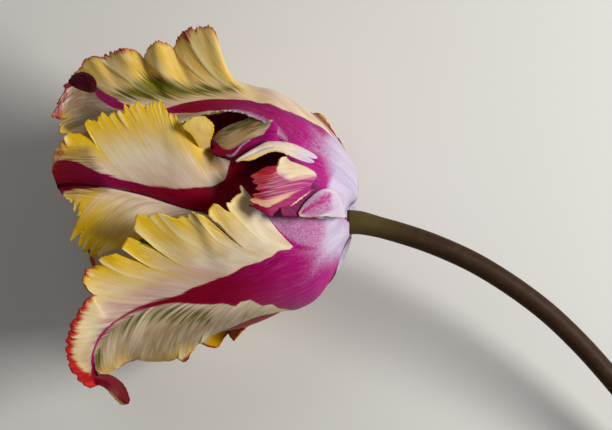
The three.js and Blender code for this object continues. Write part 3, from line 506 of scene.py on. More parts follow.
LOWER_INNER = even_guides(CUP_FRONT, (
    (0, 0, -108, 0, 0, -72, 0, 0, -144, 0), (0.05, 4, -108, 0, 4, -70.5, 0, 4, -145.5, 0),
    (0.12, 9, -108, 0, 9, -64.5, 0, 9, -151.5, 0), (0.25, 22, -108, 0.5, 20, -53, -2, 20, -163, 0),
    (0.4, 36.5, -108, 1, 33.5, -48, -2, 33.5, -166, 0), (0.55, 49.5, -107, 0, 47, -46, -1, 47, -166, 0),
    (0.7, 63, -106, 0, 61, -46, -1, 61, -161.5, 0), (0.82, 74, -105, 0, 73, -52, -1, 73, -151.5, 0),
    (0.92, 83, -104, 0, 83.5, -66, -1, 83.5, -137, 0), (1, 90, -103, 0, 90, -91, -0.5, 90, -115, 0),
), flare_plus=TURNED_UP, flare_minus=TURNED_UP, waves=(
    Wave(1, 0.8, 4, 0.5, 0.45), Wave(-1, 1.2, 4.5, 0.1, 0.45),
), teeth=(Teeth(1, 0.3, 1, 16, 3), Teeth(-1, 0.3, 1, 16, 3)))


class Pigment(Enum):
    """A colouring, by the name of the mesh layer that carries it."""

    BLUSH = "petal_blush"
    GREEN = "petal_green"
    GOLD = "petal_gold"
    FLAME = "petal_flame"
    PALE = "petal_pale"
    RED = "petal_red"
    DARK = "petal_dark"
    # Painted shade: brown laid where the petals lie in shade.
    UMBER = "petal_umber"


BLUSH, GREEN, GOLD, FLAME, PALE, RED, DARK, UMBER = Pigment


@dataclass(frozen=True)
class Places:
    """Where the vertices of one sheet lie on their blade.

    Attributes:
        s: Their veins, from 0 at the base to 1 at the tip.
        v: How far across it is, from -1 to 1.
        u: Its place along the blade.
        w: Its place across the blade, past 1 on the fringe.
        width: The half width of the blade there.
        margin: Its distance from the margin.
        length: The length of the blade.
    """

    s: Array
    v: Array
    u: Array
    w: Array
    width: Array
    margin: Array
    length: float


@dataclass(frozen=True)
class Band:
    """A stroke of pigment that runs along the blade.

    Attributes:
        pigment: What colours it.
        rows: (u, lower w, upper w) along the stroke.
        soft: Over how many millimetres its edge fades.
        cap: The highest level it reaches; 3 is full colour and 0 is half.
    """

    pigment: Pigment
    rows: Rows
    soft: float = 0.5
    cap: float = 3.0

    def level(self, places: Places) -> Array:
        """Level of the pigment at each vertex.

        Args:
            places: Where the vertices lie.

        Returns:
            The levels, over 0 inside the stroke.
        """
        first, last = self.rows[0][0], self.rows[-1][0]
        low = straight(tuple((row[0], row[1]) for row in self.rows), places.u)
        high = straight(tuple((row[0], row[2]) for row in self.rows), places.u)
        inside = np.minimum(places.w - low, high - places.w) * places.width
        if first > 0:
            inside = np.minimum(inside, (places.u - first) * places.length)
        if last < 1:
            inside = np.minimum(inside, (last - places.u) * places.length)
        return np.clip(inside / self.soft, LOWEST, self.cap)


@dataclass(frozen=True)
class Fringe:
    """Pigment that comes in from one margin.

    Attributes:
        pigment: What colours it.
        side: Which margin it is on.
        rows: (place along the margin, depth).
        soft: Over how many millimetres its edge fades.
        cap: The highest level it reaches.
    """

    pigment: Pigment
    side: int
    rows: Rows
    soft: float = 2.0
    cap: float = 3.0

    def level(self, places: Places) -> Array:
        """Level of the pigment at each vertex.

        Args:
            places: Where the vertices lie.

        Returns:
            The levels, over 0 near the margin.
        """
        depth = straight(self.rows, places.s)
        level = (depth - places.margin) / self.soft
        here = (np.sign(places.v) == self.side) & (depth > 0)
        return np.where(here, np.clip(level, LOWEST, self.cap), LOWEST)


def sawtooth(starts: Rows, s: Array) -> tuple[Array, Array]:
    """Overlapping folds: each rises towards the tip and drops where the next one starts.

    Args:
        starts: (where a fold starts, its height), in order.
        s: Places along the margin.

    Returns:
        Heights, with no fold before the first start or after the last, and how
        much each place belongs to the raised lip of its fold, from 0 to 1.
    """
    knots = np.asarray(starts, float)
    k = np.searchsorted(knots[:, 0], s, side="right") - 1
    within = (k >= 0) & (k < len(knots) - 1)
    k = np.clip(k, 0, len(knots) - 2)
    t = np.clip((s - knots[k, 0]) / (knots[k + 1, 0] - knots[k, 0]), 0, 1)
    height = np.where(within, knots[k, 1] * (t**4 - FOLD_SINK), 0)
    lip = np.where(within, rise(t, *LIP_RISE), 0)
    return height, lip


@dataclass(frozen=True)
class Margin:
    """The fringe of one side of a sheet.

    Attributes:
        rows: (place along the margin, reach past the guide).
        folds: (where a fold starts, its height).
        ragged: The size of the finest serration.
        relief: How strongly the teeth are folded.
        natural: Where the blade's own runs of teeth take over; over 1 for nowhere.
        deep: Where the folds between the teeth begin, from midrib (0) to margin (1).
    """

    rows: Rows = FLAT
    folds: Rows = ()
    ragged: float = 0.25
    relief: float = 0.5
    natural: float = 2.0
    deep: float = 0.5

    def reach(self, s: Array) -> Array:
        """How far the margin lies past its guide, with round tips and sharp valleys.

        Args:
            s: Places along the margin.

        Returns:
            The reach at each place.
        """
        knots = np.asarray(self.rows, float)
        k = np.clip(np.searchsorted(knots[:, 0], s, side="right") - 1, 0, len(knots) - 2)
        t = np.clip((s - knots[k, 0]) / (knots[k + 1, 0] - knots[k, 0]), 0, 1)
        first, last = knots[k, 1], knots[k + 1, 1]
        rising = last > first
        low, high = np.minimum(first, last), np.maximum(first, last)
        part = np.where(rising, t, 1 - t)
        around = np.pad(knots[:, 1], 1, mode="edge")
        tip = (knots[:, 1] >= around[:-2]) & (knots[:, 1] >= around[2:])
        rounded = np.sin(np.pi / 2 * part) ** TIP_ROUNDNESS
        part = np.where(tip[np.where(rising, k + 1, k)], rounded, part)
        return low + (high - low) * part

    def valleys(self) -> list[float]:
        """Places of the valleys between the teeth."""
        runs = zip(self.rows, self.rows[1:], self.rows[2:])
        return [row[0] for last, row, after in runs if row[1] < min(last[1], after[1]) - VALLEY_DEPTH]

    def tooth_folds(self, length: float) -> Rows:
        """A fold for each tooth, higher the wider it is.

        Args:
            length: The blade's length.

        Returns:
            (where a fold starts, its height).
        """
        starts = self.valleys()
        if len(starts) < 2:
            return ()
        widths = [(b - a) * length for a, b in zip(starts, starts[1:])] + [0.0]
        sizes = (min(FOLD_LEAST + FOLD_PER_MM * width, 1.0) for width in widths)
        return tuple((start, self.relief * size) for start, size in zip(starts, sizes))


def new_piece(
    name: str, bm: Mesh, materials: tuple[Material, ...],
) -> Piece:
    """Turns a finished mesh into a piece of the scene.

    Args:
        name: What the piece is called.
        bm: Its mesh, which is freed.
        materials: Its materials, in the order of its slots.

    Returns:
        The piece, at the origin.
    """
    mesh = bpy.data.meshes.new(name)
    bm.to_mesh(mesh)
    bm.free()
    for material in materials:
        mesh.materials.append(material)
    piece = bpy.data.objects.new(name, mesh)
    bpy.context.scene.collection.objects.link(piece)
    return piece


def lay_grid(
    bm: Mesh, points: Array,
) -> dict[bmesh.types.BMVert, tuple[int, int]]:
    """Adds a grid of smooth faces with its vertices in place.

    Args:
        bm: The mesh under construction.
        points: Places in metres, as rows by columns by 3.

    Returns:
        The row and column of each new vertex.
    """
    rows, columns = points.shape[0] - 1, points.shape[1] - 1
    made = bmesh.ops.create_grid(bm, x_segments=columns, y_segments=rows, size=1.0)
    spots = {}
    for vert in made["verts"]:
        spots[vert] = (round((vert.co.y + 1) / 2 * rows), round((vert.co.x + 1) / 2 * columns))
    for vert, spot in spots.items():
        vert.co = points[spot]
        for face in vert.link_faces:
            face.smooth = True
    return spots


@dataclass(frozen=True)
class Sheet:
    """One blade or lobe of a tepal, with its fringe and its markings.

    Attributes:
        guides: Its form.
        plus: The fringe on the plus side.
        minus: The fringe on the minus side.
        markings: What colours it.
        tip: (v, reach past the end of the guides) across the tip.
        columns: Faces from base to tip.
        rows: Faces from margin to margin.
        length: Its length.
        sweep: How far its veins lean out to the margins.
        hue: (u, 0 for magenta to 1 for crimson) along the blade.
        furrow: The height of its furrows.
        inset: How far inside its guides it lies.
        bulges: (u, w, size and height) of round swellings.
        lengthwise: Whether its veins run from base to tip.
        seed: Start of its random numbers.
    """

    guides: Guides
    plus: Margin = Margin(natural=0.0)
    minus: Margin = Margin(natural=0.0)
    markings: tuple[Band | Fringe, ...] = ()
    tip: Rows = FLAT
    columns: int = 320
    rows: int = 96
    length: float = BLADE_LENGTH
    sweep: float = VEIN_SWEEP
    hue: Rows = ((0, 0), (1, 1))
    furrow: float = 0.01
    inset: float = 0.0
    bulges: Rows = ()
    lengthwise: bool = False
    seed: int = 1

    def veins(self) -> Array:
        """Places of the columns, with one on each valley and tip of the fringe.

        Returns:
            The places along the margins, in order.
        """
        s = np.linspace(0, 1, self.columns + 1)
        taken = set()
        for margin in (self.plus, self.minus):
            for row in margin.rows[1:-1]:
                k = int(round(row[0] * self.columns))
                if 0 < k < self.columns and k not in taken:
                    s[k] = row[0]
                    taken.add(k)
        return s

    def reach(self, s: Array, side: int) -> Array:
        """How far each vein is carried past its guide on one side.

        Args:
            s: The veins.
            side: Which side.

        Returns:
            The reach of each vein.
        """
        margin = self.plus if side > 0 else self.minus
        runs = enumerate(self.guides.teeth)
        teeth = sum(run.reach(s, k) for k, run in runs if run.side == side)
        teeth = teeth * rise(s, margin.natural, NATURAL_FADE)
        noise = np.random.default_rng(self.seed + side).uniform(-1, 1, s.shape)
        return margin.reach(s) + teeth + margin.ragged * noise * rise(s, *RAG_RISE)

    def lift(self, s: Array, part: Array, side: int) -> tuple[Array, Array]:
        """Folds of one side.

        Args:
            s: The vein of each column.
            part: How far out to the margin each vertex is.
            side: Which side.

        Returns:
            The height of each vertex, and how much it belongs to a raised lip.
        """
        margin = self.plus if side > 0 else self.minus
        height, lip = np.zeros_like(part), np.zeros_like(part)
        runs = ((margin.folds, FOLD_START), (margin.tooth_folds(self.length), margin.deep))
        for folds, start in runs:
            if folds:
                fold, edge = sawtooth(folds, s)
                shown = rise(part, start, FOLD_END - start)
                height = height + fold * shown
                lip = np.maximum(lip, edge * shown)
        return height, lip

    def lean(self, s: Array, w: Array) -> Array:
        """How far nearer the base a vein starts at the midrib than it ends at the margin.

        Args:
            s: The vein of each vertex.
            w: Its place across the blade.

        Returns:
            How far each vertex is moved back along the blade, as a share of its length.
        """
        bend = np.log((np.minimum(np.abs(w), 1) + VEIN_BEND) / (1 + VEIN_BEND))
        bend = -bend / math.log((1 + VEIN_BEND) / VEIN_BEND)
        return self.sweep * np.minimum(1, s / LEAN_RISE) * ease((1 - s) / LEAN_FADE) * bend

    def relief(self, s: Array, part: Array) -> Array:
        """Heights of the furrows along the veins.

        Args:
            s: The vein of each vertex.
            part: How far out to the margin it is.

        Returns:
            The height of each vertex.
        """
        turns = s * self.length
        ribs = np.sin(turns * 2.9 + 1.3 * np.sin(turns * 0.7)) + 0.6 * np.sin(turns * 5.3 + 2.0)
        return self.furrow * ribs * rise(part, *FURROW_RISE)

    def places(self) -> tuple[Places, Array, Array]:
        """Where the vertices lie on the blade.

        Returns:
            Their places, how far each is lifted off the blade in millimetres, and how much it
            belongs to a raised lip.
        """
        veins = self.veins()
        s, v = np.meshgrid(veins, np.linspace(-1, 1, self.rows + 1))
        plus = v >= 0
        part = np.abs(v)
        width = np.where(plus, self.guides.width(veins, 1), self.guides.width(veins, -1))
        reach = np.where(plus, self.reach(veins, 1), self.reach(veins, -1))
        w = v * (1 + reach / width * rise(part, *REACH_RISE))
        u = s - self.lean(s, w)
        u = u + straight(self.tip, v) / self.length * rise(s, *TIP_RISE)
        margin = (1 - part) * np.maximum(width + reach, LEAST_MARGIN)
        lift, lip = np.where(plus, self.lift(veins, part, 1), self.lift(veins, part, -1))
        lift = lift + self.relief(s, part) - self.inset
        for place, across, size, height in self.bulges:
            far = ((u - place) * self.length / size) ** 2 + ((w - across) * width / size) ** 2
            lift = lift + height * np.exp(-far)
        if self.inset:
            lift = lift - ROOT_DEPTH * ease((ROOT_SHARE - s) / ROOT_SHARE)
        return Places(s, v, u, w, width, margin, self.length), lift, lip

    def surface(self) -> tuple[Array, dict[str, Array], dict[str, Array]]:
        """The sheet's middle surface and what it carries.

        Returns:
            Points, the values of each layer and the places on each texture map.
        """
        places, lift, lip = self.places()
        points = self.guides.point(places.u, places.w)
        normal = np.cross(np.gradient(points, axis=1), np.gradient(points, axis=0))
        normal = normal / np.maximum(np.linalg.norm(normal, axis=-1, keepdims=True), 1e-9)
        outward = points * (0, 1, 1)
        if (normal * outward).sum() < 0:
            normal = -normal
        points = points + normal * lift[..., None]
        layers = {kind.value: np.full(places.u.shape, LOWEST) for kind in Pigment}
        for marking in self.markings:
            name = marking.pigment.value
            layers[name] = np.maximum(layers[name], marking.level(places))
        layers[HUE_LAYER] = straight(self.hue, places.u)
        # Share of each raised lip, which carries a painted highlight.
        layers[HIGHLIGHT_LAYER] = lip
        along = np.stack([places.w * places.width, places.u * self.length], -1) / BLADE_LENGTH
        veins = np.stack([places.s * self.length, places.v * places.width], -1) / BLADE_LENGTH
        maps = {ALONG_MAP: along, VEIN_MAP: along if self.lengthwise else veins}
        return points, layers, maps


class Nodes:
    """The shader nodes of one material."""

    def __init__(self, name: str) -> None:
        """Starts a material with only its output node.

        Args:
            name: What the material is called.
        """
        self.material = bpy.data.materials.new(name)
        self.material.use_nodes = True
        self.tree = self.material.node_tree
        self.tree.nodes.clear()
        self.output = self.add("OutputMaterial")

    def add(
        self, kind: str, inputs: dict[str | int, Input] | None = None, **settings: object,
    ) -> bpy.types.Node:
        """Adds a node.

        Args:
            kind: The node's type, without the shader prefix.
            inputs: Values or sockets for its inputs, by name or number.
            **settings: Values of the node's own properties.

        Returns:
            The node.
        """
        node = self.tree.nodes.new("ShaderNode" + kind)
        for name, value in settings.items():
            setattr(node, name, value)
        for name, value in (inputs or {}).items():
            self.feed(node.inputs[name], value)
        return node

    def feed(self, socket: Socket, value: Input) -> None:
        """Joins a socket to another one, or sets its value.

        Args:
            socket: The input.
            value: The other socket, or a number, colour or vector.
        """
        if isinstance(value, Socket):
            self.tree.links.new(value, socket)
        elif isinstance(value, tuple) and len(value) == 3 and socket.type == "RGBA":
            socket.default_value = (*value, 1.0)
        else:
            socket.default_value = value

    def math(self, operation: str, *values: Input) -> Socket:
        """One step of arithmetic on numbers or sockets."""
        inputs = dict(enumerate(values))
        return self.add("Math", inputs, operation=operation).outputs[0]

    def layer(self, name: str) -> Socket:
        """A number carried by the mesh."""
        return self.add("Attribute", attribute_name=name).outputs["Fac"]

    def mix(self, share: Input, first: Input, second: Input) -> Socket:
        """Blends two colours, with a share of the second one."""
        inputs = {0: share, 6: first, 7: second}
        return self.add("Mix", inputs, data_type="RGBA").outputs[2]

    def step(self, value: Input, low: float, high: float) -> Socket:
        """Smooth step of a number, from 0 at low to 1 at high."""
        inputs = {"Value": value, "From Min": low, "From Max": high}
        return self.add("MapRange", inputs, interpolation_type="SMOOTHSTEP").outputs["Result"]

    def noise(
        self, place: Input, scale: tuple[float, float, float], detail: float, rough: float = 0.55,
    ) -> Socket:
        """Noise from 0 to 1.

        Args:
            place: Where it is read.
            scale: How fine it is along each way of the place.
            detail: How many finer layers it has.
            rough: How strong those are.

        Returns:
            The noise.
        """
        moved = self.add("Mapping", {"Vector": place, "Scale": scale})
        inputs = {"Vector": moved.outputs[0], "Scale": 1.0, "Detail": detail, "Roughness": rough}
        return self.add("TexNoise", inputs).outputs["Fac"]

    def finish(
        self, surface: dict[str, Input], height: Input, strength: float, depth: float,
    ) -> Material:
        """Adds the surface with its fine relief.

        Args:
            surface: Values or sockets of the surface's inputs, by name.
            height: The relief.
            strength: How strongly it shows.
            depth: How deep it is, in metres.

        Returns:
            The finished material.
        """
        bump = self.add("Bump", {"Height": height, "Strength": strength, "Distance": depth})
        made = self.add("BsdfPrincipled", {**surface, "Normal": bump.outputs[0]})
        self.feed(self.output.inputs["Surface"], made.outputs[0])
        return self.material


class Grain(Enum):
    """A grain of the petals' tissue.

    Each is (its texture map, how close it is across the fibres and along them, how many finer
    layers it has, and how strong those are where it isn't the usual).
    """

    FINE = (VEIN_MAP, 260.0, 18.0, 3.0)
    HAIR = (VEIN_MAP, 620.0, 30.0, 1.0)
    STRIPE = (VEIN_MAP, 95.0, 13.0, 2.0)
    PATCH = (VEIN_MAP, 9.0, 11.0, 2.0)
    RUN = (ALONG_MAP, 210.0, 9.0, 3.0)
    THREAD = (ALONG_MAP, 520.0, 16.0, 2.0)
    SPECKLE = (ALONG_MAP, 330.0, 110.0, 3.0, 0.75)
    CLOUD = (ALONG_MAP, 26.0, 5.0, 1.0)


class Streaks(Enum):
    """Where a second colour streaks a first one.

    Each is (the grain it follows, where that starts to show, where it shows in full, how much of
    the second colour there is at most).
    """

    GROUND_PATCHES = (Grain.PATCH, 0.35, 0.7, 1.0)
    GROUND_STREAKS = (Grain.FINE, 0.5, 0.75, 0.15)
    GROUND_HAIRS = (Grain.HAIR, 0.55, 0.8, 0.15)
    GOLD_HAIRS = (Grain.HAIR, 0.45, 0.75, 0.8)
    GREEN_STRIPES = (Grain.STRIPE, 0.4, 0.65, 1.0)
    DEEP_STREAKS = (Grain.RUN, 0.52, 0.3, 0.5)
    DEEP_THREADS = (Grain.THREAD, 0.5, 0.75, 0.45)
    LILAC_STREAKS = (Grain.RUN, 0.5, 0.74, 0.34)
    PINK_THREADS = (Grain.THREAD, 0.56, 0.7, 0.5)
    PALE_CLOUDS = (Grain.CLOUD, 0.35, 0.7, 0.8)
    PALE_THREADS = (Grain.THREAD, 0.48, 0.7, 0.55)
    RED_STRIPES = (Grain.STRIPE, 0.4, 0.6, 0.7)


# How a pigment ends: (the grain that breaks up its edge, how far, how soft it is, its most share).
EDGES = {
    BLUSH: (Grain.STRIPE, 3.0, 1.6, 1.0),
    # Edge of the painted shade.
    UMBER: (Grain.STRIPE, 3.0, 1.6, 0.8),
    GOLD: (Grain.FINE, 3.0, 1.8, 1.0),
    GREEN: (Grain.STRIPE, 7.0, 1.5, 0.92),
    FLAME: (Grain.RUN, 3.0, 0.6, 1.0),
    PALE: (Grain.SPECKLE, 5.0, 1.9, 1.0),
    RED: (Grain.FINE, 3.5, 1.0, 1.0),
    DARK: (Grain.RUN, 1.5, 0.8, 1.0),
}


class PetalNodes(Nodes):
    """The nodes of one petal material, with a noise for each grain."""

    def __init__(self, name: str) -> None:
        """Starts the material with its grains.

        Args:
            name: What the material is called.
        """
        super().__init__(name)
        maps = {kind: self.add("UVMap", uv_map=kind) for kind in (VEIN_MAP, ALONG_MAP)}
        self.grains = {}
        for grain in Grain:
            kind, across, along, *finer = grain.value
            self.grains[grain] = self.noise(maps[kind].outputs[0], (across, along, 1.0), *finer)

    def streaked(self, streaks: Streaks, first: Input, second: Input, share: Input = 1.0) -> Input:
        """Streaks one colour with another.

        Args:
            streaks: Where the second colour shows.
            first: The first colour.
            second: The second colour.
            share: How much of the streaks is kept.

        Returns:
            The streaked colour.
        """
        grain, low, high, most = streaks.value
        shown = self.math("MULTIPLY", self.step(self.grains[grain], low, high), most)
        return self.mix(self.math("MULTIPLY", shown, share), first, second)

    def stained(self, pigment: Pigment, under: Input, colour: Input, spread: float = 0.0) -> Input:
        """Lays a pigment over a colour, its edge broken up by a grain.

        Args:
            pigment: What is laid on.
            under: The colour below it.
            colour: Its own colour.
            spread: How much further it reaches.

        Returns:
            The stained colour.
        """
        grain, swing, soft, most = EDGES[pigment]
        moved = self.math("MULTIPLY_ADD", self.grains[grain], swing, spread - swing / 2)
        shown = self.step(self.math("ADD", self.layer(pigment.value), moved), -soft, soft)
        return self.mix(self.math("MULTIPLY", shown, most), under, colour)


class Tone(Enum):
    """A colour of the petals, from 0 to 255."""

    GROUND = (234, 217, 190)
    TINT = (212, 188, 150)
    HAIRS = (246, 240, 226)
    MAGENTA = (170, 2, 124)
    CRIMSON = (138, 0, 26)
    LILAC = (204, 72, 170)
    PINK = (222, 120, 196)
    YELLOW = (230, 182, 4)
    SUNLIT = (246, 216, 60)
    OLIVE = (112, 112, 4)
    DARK_OLIVE = (48, 56, 0)
    # Painted highlight on the raised lips of the folds.
    LIP = (250, 238, 190)
    ROSE = (208, 150, 164)
    LAVENDER = (200, 193, 212)
    CLOUD = (168, 166, 198)
    VIOLET = (196, 140, 194)
    # Brown of the painted shade.
    BROWN = (112, 76, 34)
    SCARLET = (190, 34, 22)
    MAROON = (48, 0, 16)

    @property
    def light(self) -> Colour:
        """The colour as linear light."""
        return linear(*self.value)


@dataclass(frozen=True)
class PetalFinish:
    """The look of one face of a petal.

    Attributes:
        name: What it is called.
        ground: The plain tissue.
        crimson: The flame near the tip.
        spread: How much further the flame reaches on this face.
        depth: How much maroon the flame's deepest streaks hold.
        lip_highlight_share: How much painted highlight the raised lips show.
        roughness: How dull the surface is.
        gloss: How strongly it reflects.
        glow: How much light passes through it.
        glow_radius: How far red, green and blue light do, in metres.
        relief: How strongly the fine grain and the hairs stand out.
        bump: How strongly both show, and how deep they are, in metres.
    """

    name: str
    ground: Colour = Tone.GROUND.value
    crimson: Colour = Tone.CRIMSON.value
    spread: float = 0.0
    depth: float = 0.6
    lip_highlight_share: float = 0.55
    roughness: float = 0.48
    gloss: float = 0.1
    glow: float = 0.12
    glow_radius: Colour = (0.0012, 0.0006, 0.0004)
    relief: tuple[float, float] = (0.7, 0.4)
    bump: tuple[float, float] = (0.25, 0.00006)

    def _ground(self, made: PetalNodes) -> Socket:
        """The plain tissue, with its patches, streaks and hairs.

        Args:
            made: The nodes of the material.

        Returns:
            The colour.
        """
        ground = made.streaked(Streaks.GROUND_PATCHES, linear(*self.ground), Tone.TINT.light)
        ground = made.streaked(Streaks.GROUND_STREAKS, ground, Tone.TINT.light)
        return made.streaked(Streaks.GROUND_HAIRS, ground, Tone.HAIRS.light)

    def _flame(self, made: PetalNodes) -> Socket:
        """The flame's colour, from magenta to crimson, with deep and pale streaks.

        Args:
            made: The nodes of the material.

        Returns:
            The colour.
        """
        hue = made.layer(HUE_LAYER)
        young = made.math("SUBTRACT", 1.0, hue)
        flame = made.mix(hue, Tone.MAGENTA.light, linear(*self.crimson))
        deep = made.mix(self.depth, flame, Tone.MAROON.light)
        flame = made.streaked(Streaks.DEEP_STREAKS, flame, deep)
        flame = made.streaked(Streaks.DEEP_THREADS, flame, deep)
        flame = made.streaked(Streaks.LILAC_STREAKS, flame, Tone.LILAC.light, young)
        return made.streaked(Streaks.PINK_THREADS, flame, Tone.PINK.light, young)

    def material(self) -> Material:
        """Builds the material from the mesh's layers.

        Returns:
            The material.
        """
        made = PetalNodes(self.name)
        gold = made.streaked(Streaks.GOLD_HAIRS, Tone.YELLOW.light, Tone.SUNLIT.light)
        green = made.streaked(Streaks.GREEN_STRIPES, Tone.OLIVE.light, Tone.DARK_OLIVE.light)
        pale = made.streaked(Streaks.PALE_CLOUDS, Tone.LAVENDER.light, Tone.CLOUD.light)
        pale = made.streaked(Streaks.PALE_THREADS, pale, Tone.VIOLET.light)
        red = made.streaked(Streaks.RED_STRIPES, Tone.SCARLET.light, linear(*self.crimson))
        colour = made.stained(BLUSH, self._ground(made), Tone.ROSE.light)
        # Painted shade: brown over the places where the petals lie in shade.
        colour = made.stained(UMBER, colour, Tone.BROWN.light)
        colour = made.stained(GOLD, colour, gold)
        colour = made.stained(GREEN, colour, green)
        # Painted highlight: the raised lip of each fold is lightened, standing in for light on its bank.
        lip = made.math("MULTIPLY", made.layer(HIGHLIGHT_LAYER), self.lip_highlight_share)
        colour = made.mix(lip, colour, Tone.LIP.light)
        colour = made.stained(FLAME, colour, self._flame(made), self.spread)
        colour = made.stained(PALE, colour, pale)
        colour = made.stained(RED, colour, red)
        colour = made.stained(DARK, colour, Tone.MAROON.light)
        fine, hair = (
            made.math("MULTIPLY", made.grains[grain], share)
            for grain, share in zip((Grain.FINE, Grain.HAIR), self.relief)
        )
        return made.finish({
            "Base Color": colour,
            "Roughness": self.roughness,
            "Specular IOR Level": self.gloss,
            "Subsurface Weight": self.glow,
            "Subsurface Radius": self.glow_radius,
            "Subsurface Scale": 1.0,
        }, made.math("ADD", fine, hair), *self.bump)


@dataclass(frozen=True)
class Tepal:
    """One petal of the bloom.

    Attributes:
        node: The CAD node that it stands for.
        sheets: Its blade and the lobes that grow from it.
        outside: The finish of its outer face.
        inside: The finish of its inner face.
        thickness: How thick it is.
        clearance: How far its outer face stays off the floor.
    """

    node: str
    sheets: tuple[Sheet, ...]
    outside: PetalFinish
    inside: PetalFinish
    thickness: float = 0.5
    clearance: float = 0.05

    def build(self) -> Piece:
        """Builds the petal's mesh, thickens it and dresses both faces.

        Returns:
            The petal.
        """
        bm = bmesh.new()
        maps = {name: bm.loops.layers.uv.new(name) for name in (VEIN_MAP, ALONG_MAP)}
        names = [kind.value for kind in Pigment] + [HUE_LAYER, HIGHLIGHT_LAYER]
        layers = {name: bm.verts.layers.float.new(name) for name in names}
        for sheet in self.sheets:
            self._lay(bm, sheet, layers, maps)
        finishes = (self.outside.material(), self.inside.material())
        piece = new_piece(self.node + "_petal", bm, finishes)
        shell = piece.modifiers.new("thickness", "SOLIDIFY")
        shell.thickness = self.thickness * MM
        shell.offset = 0.0
        shell.use_even_offset = False
        shell.material_offset = 1
        shell.material_offset_rim = 0
        return piece

    def _lay(
        self, bm: Mesh, sheet: Sheet,
        layers: dict[str, bmesh.types.BMLayerItem], maps: dict[str, bmesh.types.BMLayerItem],
    ) -> None:
        """Adds one sheet to the mesh, with its outer face outwards.

        Args:
            bm: The mesh under construction.
            sheet: The sheet.
            layers: The mesh's number layers, by name.
            maps: Its texture maps, by name.
        """
        points, values, places = sheet.surface()
        placed = points + (-CENTRE[0], -CENTRE[1], AXIS_HEIGHT)
        placed[..., 2] = np.maximum(placed[..., 2], self.thickness / 2 + self.clearance)
        spots = lay_grid(bm, placed * MM)
        for vert, spot in spots.items():
            for name, layer in layers.items():
                vert[layer] = values[name][spot]
        faces = list({face for vert in spots for face in vert.link_faces})
        for face in faces:
            for loop in face.loops:
                for name, layer in maps.items():
                    loop[layer].uv = places[name][spots[loop.vert]]
        bm.normal_update()
        if self._facing(faces) < 0:
            bmesh.ops.reverse_faces(bm, faces=faces)

    def _facing(self, faces: list[bmesh.types.BMFace]) -> float:
        """How far faces point away from the bloom's axis.

        Args:
            faces: The faces.

        Returns:
            Over 0 where they point away on the whole.
        """
        axis = Vector((0, -CENTRE[1], AXIS_HEIGHT)) * MM
        spans = ((face, (face.calc_center_median() - axis).yz) for face in faces)
        return sum(face.normal.yz.dot(away) * face.calc_area() for face, away in spans)


# Fringes of the margins, and reaches across the tips.
UPPER_PLUS = Margin((
    (0, 0), (0.325, 0), (0.334, 1.3), (0.343, 1.2), (0.349, 0), (0.359, -0.2), (0.373, 0.1), (0.378, 2.5),
    (0.395, 1.5), (0.412, -0.4), (0.42, 0), (0.438, 0.1), (0.445, -0.1), (0.45, 0.1), (0.461, 0),
    (0.471, -0.5), (0.481, 0.3), (0.5, 0.3), (0.512, 0.3), (0.53, 0.1), (0.549, -0.4), (0.567, 0.1),
    (0.582, 0.2), (0.604, 0.2), (0.628, 0.1), (0.648, 0.2), (0.66, 0.4), (0.669, -0.4), (0.681, 0.2),
    (0.692, 0.8), (0.705, 0.8), (0.718, 0.6), (0.733, 0.5), (0.74, 0.5), (0.746, -0.1), (0.749, 0.6),
    (0.7535, 0), (0.756, 0.8), (0.764, -0.3), (0.767, 1), (0.7735, -0.6), (0.776, 0.8), (0.781, -0.6),
    (0.789, 0.2), (0.807, 0.1), (0.82, -0.1), (0.831, 0.2), (0.842, 0), (0.851, -0.4), (0.861, 0.1),
    (0.866, -0.1), (0.88, 0.3), (0.895, -0.2), (0.912, 0.4), (0.93, 0), (0.941, 0.7), (0.952, 0.2),
    (0.963, 1), (0.985, 0.1), (1, 0.2),
), relief=0.06, deep=0.8, folds=((0.4, 0.5), (0.505, 0.3), (0.549, 0.7), (0.669, 0.5), (0.79, 0)))
UPPER_MINUS = Margin((
    (0, 0), (0.058, 0.2), (0.1, 0.1), (0.125, 1), (0.149, 2.2), (0.173, 4.1), (0.193, 6.6), (0.208, 7.5),
    (0.222, 3), (0.24, 1), (0.26, 0), (0.292, 0), (0.313, 0.4), (0.333, -0.4), (0.36, -0.5), (0.379, 0),
    (0.406, 0), (0.486, -0.5), (0.53, 0), (0.7, 0), (0.763, -0.3), (0.799, 2.4), (0.833, 3.5), (0.842, 1.9),
    (0.847, 2.6), (0.855, 3.4), (0.861, 1.5), (0.866, 2.2), (0.872, -1.9), (0.88, 0.6), (0.895, 2),
    (0.915, 4.5), (0.9215, 0), (0.928, 2.6), (0.934, 0.6), (0.945, 2.6), (0.962, 4.2), (0.97, 2.6),
    (0.978, 5.2), (0.984, 4), (0.99, 5), (1, 4.6),
), ragged=0.3)
